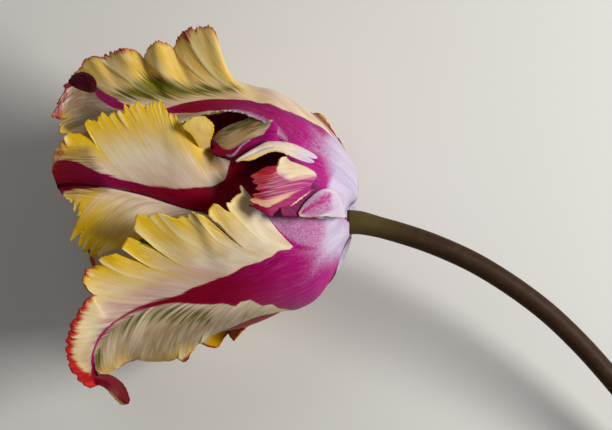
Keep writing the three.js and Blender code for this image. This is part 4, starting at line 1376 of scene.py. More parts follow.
FRONT_PLUS = Margin((
    (0, 0), (0.46, 0), (0.475, 1.5), (0.492, 3.6), (0.505, 2.8), (0.522, 1.4), (0.539, 0), (0.547, 0.7),
    (0.553, -1.1), (0.561, 1.7), (0.567, -0.2), (0.572, 0.9), (0.578, 0.7), (0.586, -0.5), (0.592, 0.7),
    (0.6, 0.1), (0.608, 1.3), (0.614, 0.5), (0.62, 1.1), (0.631, 0.9), (0.642, -0.4), (0.648, 0.3),
    (0.654, 0.1), (0.66, -0.5), (0.666, -0.1), (0.672, -1.6), (0.677, 0.1), (0.684, -1.9), (0.69, -0.1),
    (0.697, 0.5), (0.703, 0.6), (0.71, -0.2), (0.717, 0.6), (0.724, -0.4), (0.73, 0.9), (0.733, 1.2),
    (0.7375, -0.9), (0.7425, -0.9), (0.7455, -0.2), (0.75, 0.1), (0.7555, -0.7), (0.761, 0.1), (0.767, 0.1),
    (0.7755, -0.7), (0.783, 0.4), (0.79, 0.8), (0.795, -0.1), (0.799, 0.3), (0.803, -0.1), (0.8085, -0.6),
    (0.812, 0.3), (0.817, -0.2), (0.828, 0.8), (0.838, 0.5), (0.847, -6), (0.852, -2.9), (0.858, -0.8),
    (0.874, 0.3), (0.897, 1.5), (0.905, 0.5), (0.911, 1), (0.918, 0.9), (0.93, -0.5), (0.941, 0.2),
    (0.957, 1.1), (0.972, 0.8), (0.988, 0.6), (1, 0.2),
), relief=0.6, deep=0.8)
FRONT_MINUS = Margin((
    (0, 0), (0.7, -9), (0.732, -8), (0.754, -5.6), (0.764, -3.3), (0.784, -0.8), (0.8, 1.5), (0.806, 0.8),
    (0.824, 3), (0.83, 0.5), (0.838, 2.2), (0.848, 3.2), (0.855, 1.2), (0.862, 2.8), (0.868, 3),
    (0.874, -1.6), (0.882, 0.9), (0.893, 3.4), (0.905, 4.7), (0.909, -3.6), (0.916, -2.2), (0.921, -4.2),
    (0.927, -3.4), (0.93, -5.2), (0.938, -1), (0.945, -0.1), (0.949, -3.6), (0.953, -1.5), (0.957, -3.2),
    (0.966, -0.7), (0.971, -1.7), (0.982, -0.3), (0.991, 0.1), (1, 0),
), ragged=0.3, deep=0.7)
LOWER_PLUS = Margin((
    (0, 0), (0.036, 2.4), (0.055, 3.2), (0.078, 3.7), (0.1, 4.1), (0.118, 4.4), (0.138, 4.2), (0.16, 3.4),
    (0.183, 1.8), (0.198, 0.6), (0.207, -1.5), (0.216, -2.4), (0.233, -3.6), (0.237, -1.6), (0.247, 0.7),
    (0.256, -1), (0.274, 0), (0.302, 0.2), (0.314, -0.3), (0.322, 0.2), (0.329, -2.5), (0.336, -1),
    (0.345, 0.2), (0.362, 0), (0.376, 0.1), (0.386, -0.4), (0.392, -15), (0.398, 0.5), (0.411, 0.7),
    (0.436, 0), (0.445, -0.5), (0.452, -1.7), (0.458, -0.5), (0.466, -1), (0.472, 0), (0.481, 0.8),
    (0.496, 0.7), (0.516, 0), (0.525, -0.8), (0.54, 0.3), (0.556, 1), (0.573, 0.7), (0.5835, -11.5),
    (0.588, -2), (0.592, 0), (0.612, -0.5), (0.629, -1.2), (0.6385, -11), (0.645, -0.6), (0.651, -0.1),
    (0.673, 0.5), (0.688, 0.2), (0.694, -2), (0.704, -1), (0.715, -0.2), (0.727, 0.6), (0.737, 0.1),
    (0.752, 0.4), (0.769, 0), (0.779, -5), (0.788, -0.6), (0.801, 1.3), (0.815, 1.5), (0.8205, 0.5),
    (0.827, 1), (0.837, 0.9), (0.843, 0.2), (0.852, 1.9), (0.86, 2), (0.8655, 1), (0.872, 2), (0.878, 1.1),
    (0.887, 1.8), (0.8935, 0.3), (0.905, 1.3), (0.911, 0.1), (0.919, 0.7), (0.926, -0.3), (0.933, 1),
    (0.947, 1.1), (0.954, -0.6), (0.964, 0.6), (0.972, 0.8), (0.978, 0.2), (0.988, 0.9), (0.995, 0.2),
    (1, 0.1),
), relief=0.1, deep=0.75, folds=(
    (0.247, 0.2), (0.329, 0), (0.345, 0.35), (0.392, 0.4), (0.428, 0), (0.5, 0.3), (0.5835, 0), (0.6, 0.35),
    (0.6385, 0.2), (0.694, 0),
))
LOWER_MINUS = Margin((
    (0, 0), (0.4, -3), (0.446, -4), (0.515, -2.5), (0.578, -3.2), (0.594, 0.6), (0.616, 0.8), (0.638, 3),
    (0.651, 2.6), (0.66, -1), (0.675, 0.4), (0.69, 1), (0.738, 1.2), (0.769, 2), (0.785, 0.1), (0.806, 0.8),
    (0.818, 0.1), (0.844, 0.1), (0.862, 0.7), (0.87, 0.1), (0.889, 0.4), (0.899, 0), (0.913, -2),
    (0.93, -4.5), (1, -4),
))
BACK_PLUS = Margin((
    (0, -1), (0.02, -2.8), (0.05, -4), (0.1, -5.2), (0.139, -6), (0.2, -7), (0.322, -7.2), (0.351, -6),
    (0.394, -3.7), (0.44, -3.4), (0.449, -2.9), (0.47, -6), (0.492, -10.4), (0.504, -8.5), (0.512, -3),
    (0.523, -1.2), (0.54, -0.3), (0.556, 0), (0.577, -1.2), (0.6, 0), (1, 0),
), natural=0.6)
BACK_MINUS = Margin((
    (0, 0), (0.06, -3), (0.1, -8.5), (0.127, -7.6), (0.145, -8.6), (0.156, -7), (0.162, -4), (0.166, -1.4),
    (0.176, -0.2), (0.188, -0.8), (0.198, -2.6), (0.205, -4), (0.25, -2), (0.3, 0), (1, 0),
), natural=0.3)
FLAP_TIP: Rows = ((-1, -1), (-0.7, 0.6), (-0.5, -0.4), (-0.2, 0.5), (0.1, -0.3), (0.5, 0.3), (1, -1))
RAGGED_TIP: Rows = (
    (-1, 1.5), (-0.85, -0.5), (-0.7, 1.8), (-0.55, 0.2), (-0.4, 1.2), (-0.25, -2.2), (-0.05, 0.4),
    (0.1, -0.8), (0.3, 2), (0.45, 1.2), (0.6, 3), (0.75, 1.2), (1, -1.5),
)
TONGUE_TIP: Rows = ((-1, -1.5), (-0.5, 0.3), (-0.3, -0.3), (0, 0.6), (0.3, -0.4), (0.6, 0.4), (1, -1))
RAGGED_MINUS = Margin((
    (0, 0), (0.25, 1), (0.5, 2.5), (0.62, 1.6), (0.75, 2.8), (0.85, 1.4), (1, 1),
))

# Colours of the blades and lobes, with painted shade and painted highlights among them; later strokes add
# to earlier ones.
UPPER_MARKINGS = (
    Band(FLAME, (
        (0, -1.5, 0.9), (0.08, -1.5, 0.7), (0.106, -1.5, 0.45), (0.131, -1.5, 0.4), (0.155, -1.5, 0.38),
        (0.196, -1.5, 0.285), (0.238, -1.5, 0.195), (0.291, -1.4, 0.135), (0.32, -1.2, 0.15),
        (0.345, -0.95, 0.17), (0.383, -0.95, 0.235), (0.446, -0.93, 0.19), (0.472, -0.85, 0.16),
        (0.501, -0.68, 0.155), (0.542, -0.55, 0.15), (0.575, -0.38, 0.135), (0.61, -0.28, 0.11),
        (0.64, -0.2, 0.07), (0.672, -0.18, -0.01), (0.72, -0.19, -0.06), (0.771, -0.21, -0.07),
        (0.815, -0.22, -0.03), (0.853, -0.2, 0.03), (0.896, -0.18, 0.09), (0.94, -0.15, 0.12),
    )),
    Band(FLAME, ((0.9, 0, 0.5), (0.94, -0.3, 1), (1, -0.8, 1.5)), 0.8, cap=0.8),
    Band(GREEN, (
        (0.377, 0.5, 0.56), (0.436, 0.38, 0.475), (0.483, 0.315, 0.465), (0.529, 0.295, 0.495),
        (0.567, 0.285, 0.545), (0.602, 0.3, 0.575), (0.623, 0.31, 0.615), (0.646, 0.29, 0.66),
        (0.673, 0.265, 0.735), (0.701, 0.24, 0.685), (0.725, 0.2, 0.58), (0.753, 0.165, 0.445),
        (0.784, 0.14, 0.335), (0.831, 0.11, 0.16),
    ), 1.6),
    Band(BLUSH, (
        (0.25, 0.16, 0.5), (0.35, 0.16, 0.45), (0.45, 0.15, 0.34), (0.6, 0.05, 0.2), (0.66, 0, 0.1),
    ), 2.5, cap=-0.6),
    Band(PALE, (
        (0, -1.5, 1.5), (0.08, -1.5, 1.5), (0.1, -0.8, 1.2), (0.117, -0.36, 0.8), (0.144, -0.14, 0.35),
        (0.165, 0, 0.12),
    ), 3, cap=1.8),
    Band(PALE, (
        (0.13, -0.5, 0.4), (0.2, -0.6, 0.05), (0.28, -0.9, -0.35), (0.34, -1.1, -0.65), (0.38, -1.1, -0.8),
    ), 2.5, cap=-1.9),
    Band(PALE, (
        (0.26, -0.6, -0.95), (0.3, -0.76, -0.86), (0.325, -0.94, -0.8), (0.344, -1.02, -0.82),
        (0.363, -1.1, -0.86), (0.4, -1.2, -0.93), (0.43, -1.2, -0.97),
    ), 1.2, cap=0.1),
    Band(FLAME, (
        (0.1, 0.4, 0.46), (0.127, 0.44, 0.53), (0.15, 0.5, 0.6), (0.19, 0.55, 0.64),
    ), cap=0.8),
    # Painted shade: brown over the minus side towards the tip.
    Band(UMBER, (
        (0.5, -1.1, -0.7), (0.57, -0.7, -0.35), (0.65, -0.4, -0.2), (0.75, -0.7, -0.2), (0.8, -1.1, -0.15),
        (0.87, -1.1, -0.05), (0.93, -0.8, -0.1), (0.96, -0.6, -0.2),
    ), 3, cap=0.9),
    Band(DARK, (
        (0.16, 0.28, 0.38), (0.196, 0.2, 0.285), (0.238, 0.11, 0.195), (0.291, 0.05, 0.135),
        (0.34, 0.08, 0.165), (0.39, 0.12, 0.22),
    ), 0.8, cap=-0.4),
    Band(DARK, ((0.11, -1.7, -0.75), (0.16, -1.8, -0.6), (0.23, -1.8, -0.6)), 5, cap=0.1),
    Band(RED, ((0.13, -1.8, -0.95), (0.17, -1.8, -0.85), (0.23, -1.8, -0.8)), 3, cap=-0.5),
    # Painted shade: dark below the hood.
    Band(DARK, (
        (0.79, -0.25, -0.02), (0.83, -0.4, -0.02), (0.87, -0.45, -0.05), (0.9, -0.3, -0.1),
    ), 3, cap=-0.3),
    Fringe(GOLD, 1, (
        (0.38, 0), (0.4, 9), (0.45, 17), (0.5, 16), (0.51, 12), (0.54, 16), (0.55, 12), (0.6, 13),
        (0.655, 17), (0.67, 14), (0.74, 14), (0.8, 10), (0.9, 4), (1, 1),
    ), 9, cap=0.5),
    # Painted shade: brown in the frill's left lobes.
    Fringe(UMBER, 1, (
        (0.62, -3), (0.66, 6), (0.7, 8), (0.76, 9), (0.8, 14), (0.86, 14), (0.92, 8), (1, 0),
    ), 6, cap=0),
    Fringe(RED, 1, (
        (0.325, 0), (0.334, 1.2), (0.345, 1), (0.35, 0), (0.405, 0), (0.412, 1.8), (0.422, 0.3), (0.44, 0),
        (0.455, 0.1), (0.485, 0.5), (0.5, 2.6), (0.512, 1), (0.53, 0.2), (0.56, 0.05), (0.59, 0.5),
        (0.62, 0.2), (0.69, 0.3), (0.73, 0.9), (0.76, 0.9), (0.8, 0.5), (1, 0.5),
    ), 0.8, cap=0.4),
    Fringe(GOLD, -1, ((0.78, 0), (0.84, 2.5), (0.88, 2), (0.92, 1), (1, 0)), 3),
    Fringe(BLUSH, -1, ((0.87, 0), (0.89, 2), (0.91, 5), (0.97, 7), (1, 7)), 2, cap=1.5),
    Fringe(FLAME, -1, ((0.875, 0), (0.89, 2), (0.91, 5), (0.97, 7), (1, 7)), 2.5, cap=0.1),
    Fringe(RED, -1, ((0.87, 0), (0.89, 0.4), (0.95, 0.9), (1, 1)), 0.8, cap=0.2),
)
FRONT_MARKINGS = (
    Band(FLAME, (
        (0, -1.1, 1.1), (0.4, -1.1, 1.1), (0.415, -0.8, 0.8), (0.426, -0.5, 0.6), (0.462, -0.2, 0.49),
        (0.499, -0.06, 0.4), (0.553, -0.02, 0.295), (0.61, 0, 0.235), (0.705, 0.03, 0.19),
        (0.798, 0.045, 0.2), (0.851, 0.045, 0.295), (0.871, 0.04, 0.405), (0.891, -0.03, 0.54),
        (0.916, -0.09, 0.66), (0.953, -0.16, 0.8), (0.98, -0.35, 1), (1, -0.8, 1.1),
    ), 0.7),
    # Painted shade: a thin dark line along the fold of the midrib.
    Band(DARK, (
        (0.45, -0.09, -0.05), (0.482, -0.08, -0.04), (0.532, -0.045, -0.005), (0.624, -0.005, 0.035),
        (0.714, 0.025, 0.06), (0.813, 0.02, 0.06), (0.87, 0.035, 0.085), (0.946, 0.04, 0.12), (1, 0, 0.2),
    ), 0.35),
    # Painted shade: the tip darkened where it curls into shade.
    Band(DARK, ((0.86, 0, 0.7), (0.93, -0.2, 0.9), (1, -0.8, 1.2)), 4, cap=0),
    Band(BLUSH, (
        (0.46, -0.5, 0.7), (0.6, -0.1, 0.35), (0.8, -0.05, 0.3), (0.9, -0.3, 0.7),
    ), 2.5, cap=-0.8),
    Fringe(GOLD, 1, (
        (0.46, 0), (0.475, 4), (0.52, 7), (0.56, 7.5), (0.65, 7.5), (0.75, 7.5), (0.83, 7.5), (0.85, 9),
        (0.9, 8), (0.93, 5), (0.96, 2), (1, 0),
    ), 4),
    Fringe(GOLD, -1, ((0.7, 4), (0.8, 9), (0.86, 12), (0.9, 11), (0.95, 6), (1, 2)), 5),
    # Painted shade: brown along the plus margin by the curl and along the comb of the minus margin.
    Fringe(UMBER, 1, ((0.44, 0), (0.46, 5), (0.5, 8), (0.54, 7), (0.57, 0)), 5, cap=0.2),
    Fringe(UMBER, -1, ((0.7, 8), (0.8, 12), (0.86, 14), (0.9, 8), (0.93, 0)), 6, cap=0.2),
    Fringe(RED, 1, ((0.9, 0), (0.915, 0.8), (0.94, 2), (1, 3)), 1.5, cap=0),
)
LOWER_MARKINGS = (
    Band(FLAME, (
        (0, -1.1, 1.3), (0.184, -1.1, 1.2), (0.19, -1.1, 0.4), (0.211, -1, 0.31), (0.276, -0.75, 0.27),
        (0.3, -0.55, 0.27), (0.336, -0.5, 0.275), (0.374, -0.255, 0.25), (0.404, -0.22, 0.23),
        (0.418, -0.28, 0.22), (0.446, -0.17, 0.2), (0.511, -0.085, 0.155), (0.552, -0.03, 0.105),
        (0.596, 0.02, 0.11), (0.647, 0.015, 0.105), (0.701, 0.045, 0.095), (0.753, 0.085, 0.125),
        (0.798, 0.135, 0.215), (0.834, 0.155, 0.225), (0.873, 0.1, 0.17), (0.9, -0.12, 0.12),
        (0.923, -0.305, 0.1), (0.955, -0.9, 0.31), (1, -1.1, 1.1),
    )),
    Band(GREEN, (
        (0.5, -0.37, -0.2), (0.543, -0.31, -0.12), (0.598, -0.235, -0.055), (0.651, -0.155, -0.025),
        (0.706, -0.09, -0.005), (0.747, -0.07, 0.03), (0.786, -0.04, 0.085), (0.817, 0.01, 0.15),
        (0.848, -0.02, 0.12), (0.876, -0.205, 0.025), (0.893, -0.25, -0.21),
    ), 1.6, cap=0.3),
    Band(BLUSH, (
        (0.42, 0.1, 0.35), (0.5, 0.12, 0.38), (0.6, 0.08, 0.32), (0.7, 0.05, 0.25), (0.8, 0.1, 0.25),
    ), 3, cap=-0.3),
    Band(FLAME, ((0.18, 0.2, 1.2), (0.195, 0.3, 1.2), (0.2085, 0.62, 1.2), (0.222, 0.93, 1.2))),
    Band(PALE, (
        (0, -1.1, 1.5), (0.07, -0.5, 1.5), (0.085, -0.28, 1.2), (0.104, -0.22, 0.6), (0.125, -0.12, 0.35),
        (0.15, -0.06, 0.1),
    ), 3.6, cap=1.5),
    Band(PALE, (
        (0.06, 0.2, 1.4), (0.15, 0.35, 1.4), (0.19, 0.55, 1.3), (0.21, 0.8, 1.2),
    ), 2.5, cap=-0.4),
    Fringe(GOLD, 1, (
        (0.24, 0), (0.3, 3), (0.36, 6), (0.42, 8), (0.48, 10), (0.55, 12), (0.62, 12), (0.7, 11), (0.76, 5),
        (0.8, 1.5), (1, 0.5),
    ), 6),
    Fringe(RED, 1, (
        (0.69, 0), (0.7, 0.6), (0.72, 1), (0.75, 0.5), (0.78, 0.8), (0.8, 1.4), (0.85, 2.2), (0.9, 2.8),
        (0.93, 3.6), (0.96, 7), (1, 12),
    ), 1.4),
    # Painted shade: brown over the minus side.
    Band(UMBER, (
        (0.35, -1.1, -0.5), (0.5, -1.1, -0.3), (0.7, -1.1, -0.12), (0.82, -1.1, 0), (0.9, -1.1, -0.3),
    ), 7, cap=0.5),
    Fringe(GOLD, -1, (
        (0.58, 0), (0.62, 4), (0.68, 5), (0.76, 4), (0.85, 5), (0.9, 2), (1, 0),
    ), 5, cap=1),
    Fringe(FLAME, -1, (
        (0.6, 0), (0.64, 2.5), (0.665, 0.5), (0.69, 0), (0.78, 0), (0.8, 2), (0.83, 2.2), (0.86, 0.6),
        (0.88, 0),
    ), 1.5),
)
BACK_MARKINGS = (
    Band(FLAME, (
        (0, -1.1, 1.1), (0.12, -0.9, 0.9), (0.25, -0.55, 0.5), (0.45, -0.3, 0.32), (0.65, -0.14, 0.16),
        (0.8, -0.08, 0.08), (0.93, -0.2, 0.2), (1, -1, 1),
    )),
    Band(GREEN, (
        (0.4, 0.3, 0.42), (0.55, 0.2, 0.5), (0.7, 0.15, 0.5), (0.85, 0.1, 0.2),
    ), 1.6),
    Band(GREEN, (
        (0.4, -0.42, -0.3), (0.55, -0.5, -0.2), (0.75, -0.4, -0.15), (0.85, -0.2, -0.1),
    ), 1.6),
    Band(PALE, ((0, -1.1, 1.1), (0.06, -1, 1.1), (0.12, -0.6, 1.1), (0.17, -0.3, 1.1)), 2.2),
    Fringe(GOLD, 1, (
        (0.3, 0), (0.4, 3), (0.44, 8), (0.5, 12), (0.6, 12), (0.8, 6), (1, 2),
    )),
    Fringe(GOLD, -1, (
        (0.14, 0), (0.155, 4), (0.165, 9), (0.19, 9), (0.2, 4), (0.4, 5), (0.8, 6), (1, 2),
    ), 1.2, cap=0.1),
    Fringe(RED, 1, ((0.12, 0), (0.2, 1), (0.6, 0.5), (0.9, 1.5), (1, 3)), 0.8, cap=0.5),
    Fringe(RED, -1, (
        (0.1, 0), (0.12, 1.5), (0.15, 2.5), (0.16, 0), (0.3, 0.3), (0.6, 0.5), (0.9, 1.5), (1, 3),
    ), 0.8, cap=0.5),
)
INNER_MARKINGS = (
    Band(FLAME, (
        (0, -1.1, 1.1), (0.3, -1, 1), (0.55, -0.75, 0.75), (0.8, -0.45, 0.5), (0.92, -0.3, 0.35),
        (1, -0.6, 0.6),
    )),
    *(Fringe(GOLD, side, ((0.3, 0), (0.5, 4), (0.8, 6), (1, 2)), 3) for side in (1, -1)),
    *(
        Fringe(RED, side, ((0.4, 0), (0.6, 0.6), (0.9, 1), (1, 2)), 0.8, cap=1)
        for side in (1, -1)
    ),
)
FLAP_MARKINGS = (
    Band(FLAME, (
        (0, -1.2, 1.2), (0.13, -1.2, 1.2), (0.22, -1.2, 0.3), (0.3, -1.2, -0.05), (0.6, -1.2, -0.08),
        (0.8, -1.2, -0.1), (0.9, -1.2, 0.1), (0.97, -1.2, 0.6), (1, -1.2, 1.2),
    ), 0.8, cap=1.6),
    Band(DARK, ((0.3, -1.2, -0.6), (0.6, -1.2, -0.65), (0.85, -1.2, -0.8)), 2, cap=-0.2),
    # Painted highlight: a thin pale streak along the ridge of the flap's fold.
    Band(PALE, (
        (0.46, -0.17, -0.1), (0.6, -0.32, -0.24), (0.7, -0.52, -0.43), (0.84, -0.75, -0.66),
    ), 0.25, cap=1.2),
    # Painted shade: olive on the flap's top, and brown warmed with gold and red over its outer part, where
    # it lies under the blade's rim.
    Band(GREEN, (
        (0.2, 0.35, 0.8), (0.35, 0.4, 0.9), (0.55, 0.45, 1), (0.75, 0.7, 1),
    ), 1.6, cap=0.1),
    Band(UMBER, (
        (0.3, 0.3, 1.4), (0.42, 0, 1.4), (0.6, -0.2, 1.4), (0.8, -0.4, 1.4), (1, -0.4, 1.4),
    ), 2.5, cap=1.2),
    *(Band(pigment, (
        (0.3, -0.1, 1.4), (0.6, -0.5, 1.4), (0.8, -0.6, 1.4), (1, -0.7, 1.4),
    ), 2.5, cap=cap) for pigment, cap in ((GOLD, -1), (RED, -1.6))),
    Band(BLUSH, ((0.15, 0, 0.5), (0.5, 0, 0.4), (0.7, 0, 0.2)), 1.5, cap=-0.5),
    Fringe(RED, 1, ((0.75, 0), (0.9, 0.7), (1, 1)), 0.5),
)
CURL_MARKINGS = (
    Band(PALE, ((0, -1.2, 1.2), (0.35, -1.2, 1.2)), 3, cap=1),
    Band(PALE, ((0.3, -1.2, 1.2), (0.75, -1.2, 1.2)), 4, cap=-0.8),
    Band(FLAME, ((0, -0.95, -0.6), (0.15, -0.75, -0.6), (0.28, -0.5, -0.4)), 0.2, cap=0.8),
    Band(FLAME, ((0, 0.3, 1.2), (0.06, 0.7, 1.2), (0.12, 1, 1.2)), 0.4, cap=1),
    Fringe(GOLD, -1, ((0.42, 0), (0.5, 0.5), (0.75, 1), (0.9, 1.6), (1, 2.5)), 0.6),
    Fringe(RED, 1, ((0.8, 0), (0.88, 0.5), (1, 0.8)), 0.5, cap=0.6),
)
RAGGED_MARKINGS = (
    Band(BLUSH, (
        (0, -1.3, 0.8), (0.15, -1.3, 0.5), (0.34, -1.3, 0.1), (0.5, -1.3, 0.1), (0.67, -1.3, 0.45),
        (0.78, -1.3, 0.9), (1, -1.3, 1.3),
    ), 0.8, cap=1),
    Band(FLAME, (
        (0, -1.3, 0.6), (0.15, -1.3, 0.35), (0.34, -0.9, -0.1), (0.5, -0.66, 0), (0.67, -0.62, 0.35),
        (0.78, -0.62, 0.85), (1, -0.62, 1.3),
    ), 1.2, cap=0.25),
    Band(FLAME, ((0, -1.3, -0.5), (0.4, -1.3, -0.75), (0.6, -1.3, -0.95)), 0.8, cap=1.2),
    Band(FLAME, ((0.3, -1.3, -0.97), (0.6, -1.5, -0.95), (1, -1.5, -0.92)), 0.3),
    Band(GOLD, ((0.42, -0.9, -0.75), (0.6, -0.93, -0.68), (1, -0.93, -0.66)), 0.5, cap=-0.4),
    # Painted shade: faint brown over the plus side.
    Band(UMBER, ((0.1, 0.2, 1.3), (1, 0.2, 1.3)), 3, cap=-1),
    Band(RED, (
        (0.74, 0.3, 0.9), (0.86, 0, 1.3), (0.93, -0.3, 1.3), (1, -0.6, 1.3),
    ), 1.6, cap=0),
)
HOOD_MARKINGS = (
    Band(FLAME, ((0, -1.2, 1.2), (1, -1.2, 1.2))),
    Band(DARK, ((0, -1.2, 1.2), (1, -1.2, 1.2)), 2, cap=0.5),
)
BASE_LOBE_MARKINGS = (
    Band(FLAME, (
        (0.1, -0.1, 0.55), (0.3, -0.6, 0.72), (0.5, -0.85, 0.78), (0.75, -0.8, 0.72), (0.97, -0.5, 0.4),
    ), 1.2, cap=0.8),
    Band(PALE, ((0, -1.2, 1.2), (0.2, -1.2, 1.2), (0.35, -1.2, -0.2)), 1.6, cap=1),
    Band(PALE, ((0.3, -1.2, -0.4), (0.6, -1.2, -0.65), (0.8, -1.2, -0.85)), 2, cap=-0.2),
    Fringe(PALE, 1, ((0.2, 0), (0.35, 1.4), (0.8, 1.2), (0.95, 0)), 0.8, cap=1),
    Fringe(BLUSH, 1, ((0.3, 0), (0.4, 1.5), (0.9, 1.5), (1, 1)), 0.8, cap=1.5),
    Fringe(RED, -1, ((0.5, 0), (0.7, 0.4), (1, 0.5)), 0.4),
)
TONGUE_MARKINGS = (
    Band(FLAME, ((0, -1.2, 1.2), (0.6, -0.8, 1.2), (0.9, -0.6, 1.2), (1, -0.5, 1.2)), 0.5),
    Band(RED, ((0.2, -1, 1.2), (1, -1.2, 1.2)), 1.4, cap=-0.4),
    Band(DARK, ((0.1, -1, 1.2), (1, -1.2, 1.2)), 1.4, cap=0.05),
    Fringe(GOLD, -1, ((0.3, 0), (0.45, 1), (0.85, 1), (0.95, 0)), 0.5),
)
COMB_CURL_MARKINGS = (
    Band(GOLD, ((0, -1.5, 1.5), (1, -1.5, 1.5)), 4, cap=0.3),
    *(Fringe(GOLD, side, ((0, 2), (1, 2)), 1.5, cap=1.5) for side in (1, -1)),
)
PLAIN_EDGE = Margin(ragged=0.2)


def lobe(
    guides: Guides, markings: tuple[Band | Fringe, ...], length: float, seed: int,
    tip: Rows = FLAT, minus: Margin = PLAIN_EDGE, bulges: Rows = (),
    hue: Rows = ((0, 0), (0.6, 0.8), (1, 1)),
) -> Sheet:
    """A lobe that grows from a tepal's margin, with its root sunk a little below it.

    Args:
        guides: Its form.
        markings: What colours it.
        length: Its length.
        seed: Start of its random numbers.
        tip: How far it reaches past its guides across its tip.
        minus: The fringe on its minus side.
        bulges: Its round swellings.
        hue: Its turn from magenta to crimson.

    Returns:
        The lobe, as a small sheet whose veins run from base to tip.
    """
    return Sheet(
        guides, PLAIN_EDGE, minus, markings, tip=tip, columns=72, rows=44, length=length, sweep=0.0,
        hue=hue, furrow=0.0, inset=0.15, bulges=bulges, lengthwise=True, seed=seed,
    )


def tepals() -> tuple[Tepal, ...]:
    """The six petals of the bloom, outer ones first.

    Returns:
        The petals.
    """
    outer_out = PetalFinish("outer_tepal_outside")
    outer_in = PetalFinish("outer_tepal_inside", ground=(236, 216, 160), spread=1.0)
    inner_out = PetalFinish("inner_tepal_outside")
    inner_in = PetalFinish("inner_tepal_inside", ground=(226, 190, 110), spread=1.5)
    shadow = PetalFinish("hidden_tepal", ground=(222, 184, 110), crimson=(140, 3, 26))
    upper = Sheet(
        UPPER_OUTER, UPPER_PLUS, UPPER_MINUS, UPPER_MARKINGS,
        tip=((-1, 1.5), (-0.5, 3.5), (-0.2, 2), (0, 0), (1, 0)),
        bulges=((0.04, -0.9, 7, -2.6), (0.09, -1.1, 8, -1.6)),
        hue=(
            (0, 0), (0.2, 0.1), (0.3, 0.4), (0.4, 0.6), (0.5, 0.85), (0.6, 1), (0.72, 0.6),
            (0.82, 0.5), (1, 1),
        ), seed=11,
    )
    lower = Sheet(
        LOWER_OUTER, LOWER_PLUS, LOWER_MINUS, LOWER_MARKINGS,
        hue=(
            (0, 0), (0.1, 0), (0.2, 0.25), (0.3, 0.55), (0.4, 0.9), (0.6, 1), (0.75, 0.6),
            (0.88, 0.2), (0.95, 1),
        ), seed=31,
    )
    back = Sheet(
        BACK_OUTER, BACK_PLUS, BACK_MINUS, BACK_MARKINGS, columns=240, rows=80,
        bulges=((0.05, 0.1, 8, -1.6), (0.07, 0.9, 8, -2.6), (0.178, -1.5, 6, 5)),
        hue=((0, 0.2), (0.12, 0.6), (0.3, 1), (1, 1)), seed=41,
    )
    front = Sheet(
        FRONT_INNER, FRONT_PLUS, FRONT_MINUS, FRONT_MARKINGS,
        hue=((0, 0.6), (0.4, 1), (0.7, 0.9), (0.82, 0.7), (0.95, 1)), seed=51,
    )
    upper_inner, lower_inner = (
        Sheet(guides, markings=INNER_MARKINGS, columns=180, rows=80, hue=DEEP_HUE, seed=seed)
        for guides, seed in ((UPPER_INNER, 61), (LOWER_INNER, 71))
    )
    upper_lobes = (
        lobe(FLAP, FLAP_MARKINGS, 28, 21, FLAP_TIP),
        lobe(CURL, CURL_MARKINGS, 26, 23),
        lobe(
            RAGGED, RAGGED_MARKINGS, 22, 25, RAGGED_TIP, RAGGED_MINUS,
            hue=((0, 0.1), (0.6, 0.5), (1, 1)),
        ),
        lobe(
            BASE_LOBE, BASE_LOBE_MARKINGS, 14, 27, bulges=((0.45, 0, 4, 1),),
            hue=((0, 0), (1, 0.3)),
        ),
        lobe(HOOD, HOOD_MARKINGS, 9, 29, bulges=((0.5, 0.1, 3.5, 1.6),), hue=EVEN),
    )
    tongue = lobe(TONGUE, TONGUE_MARKINGS, 14, 33, TONGUE_TIP, hue=EVEN)
    comb_curl = lobe(COMB_CURL, COMB_CURL_MARKINGS, 16, 53)
    return (
        Tepal("tepal_outer_upper", (upper, *upper_lobes), outer_out, outer_in),
        Tepal("tepal_outer_lower", (lower, tongue), outer_out, outer_in),
        Tepal("tepal_outer_back", (back,), outer_out, outer_in),
        Tepal("tepal_inner_front", (front, comb_curl), inner_out, inner_in),
        Tepal("tepal_inner_upper", (upper_inner,), shadow, inner_in),
        Tepal("tepal_inner_lower", (lower_inner,), shadow, inner_in),
    )


def close_rings(bm: Mesh, rings: Array, tag: Array) -> None:
    """Joins rings of points into a closed tube.

    Args:
        bm: The mesh under construction.
        rings: Points, as rings by sides by 3.
        tag: A number for each ring, kept in a layer of the mesh.
    """
    layer = bm.verts.layers.float.new(TAG_LAYER)
    placed = (rings + (-CENTRE[0], -CENTRE[1], 0)) * MM
    spots = lay_grid(bm, np.concatenate([placed, placed[:, :1]], axis=1))
    for vert, spot in spots.items():
        vert[layer] = float(tag[spot[0]])
    bmesh.ops.remove_doubles(bm, verts=bm.verts[:], dist=SEAM_GAP * MM)
    ends = [edge for edge in bm.edges if edge.is_boundary]
    caps = bmesh.ops.holes_fill(bm, edges=ends, sides=0)["faces"]
    middles = bmesh.ops.poke(bm, faces=caps, offset=0.0, center_mode="MEAN")
    for vert in middles["verts"]:
        vert[layer] = vert.link_edges[0].other_vert(vert)[layer]
    for face in middles["faces"]:
        face.smooth = True
    bmesh.ops.recalc_face_normals(bm, faces=bm.faces[:])


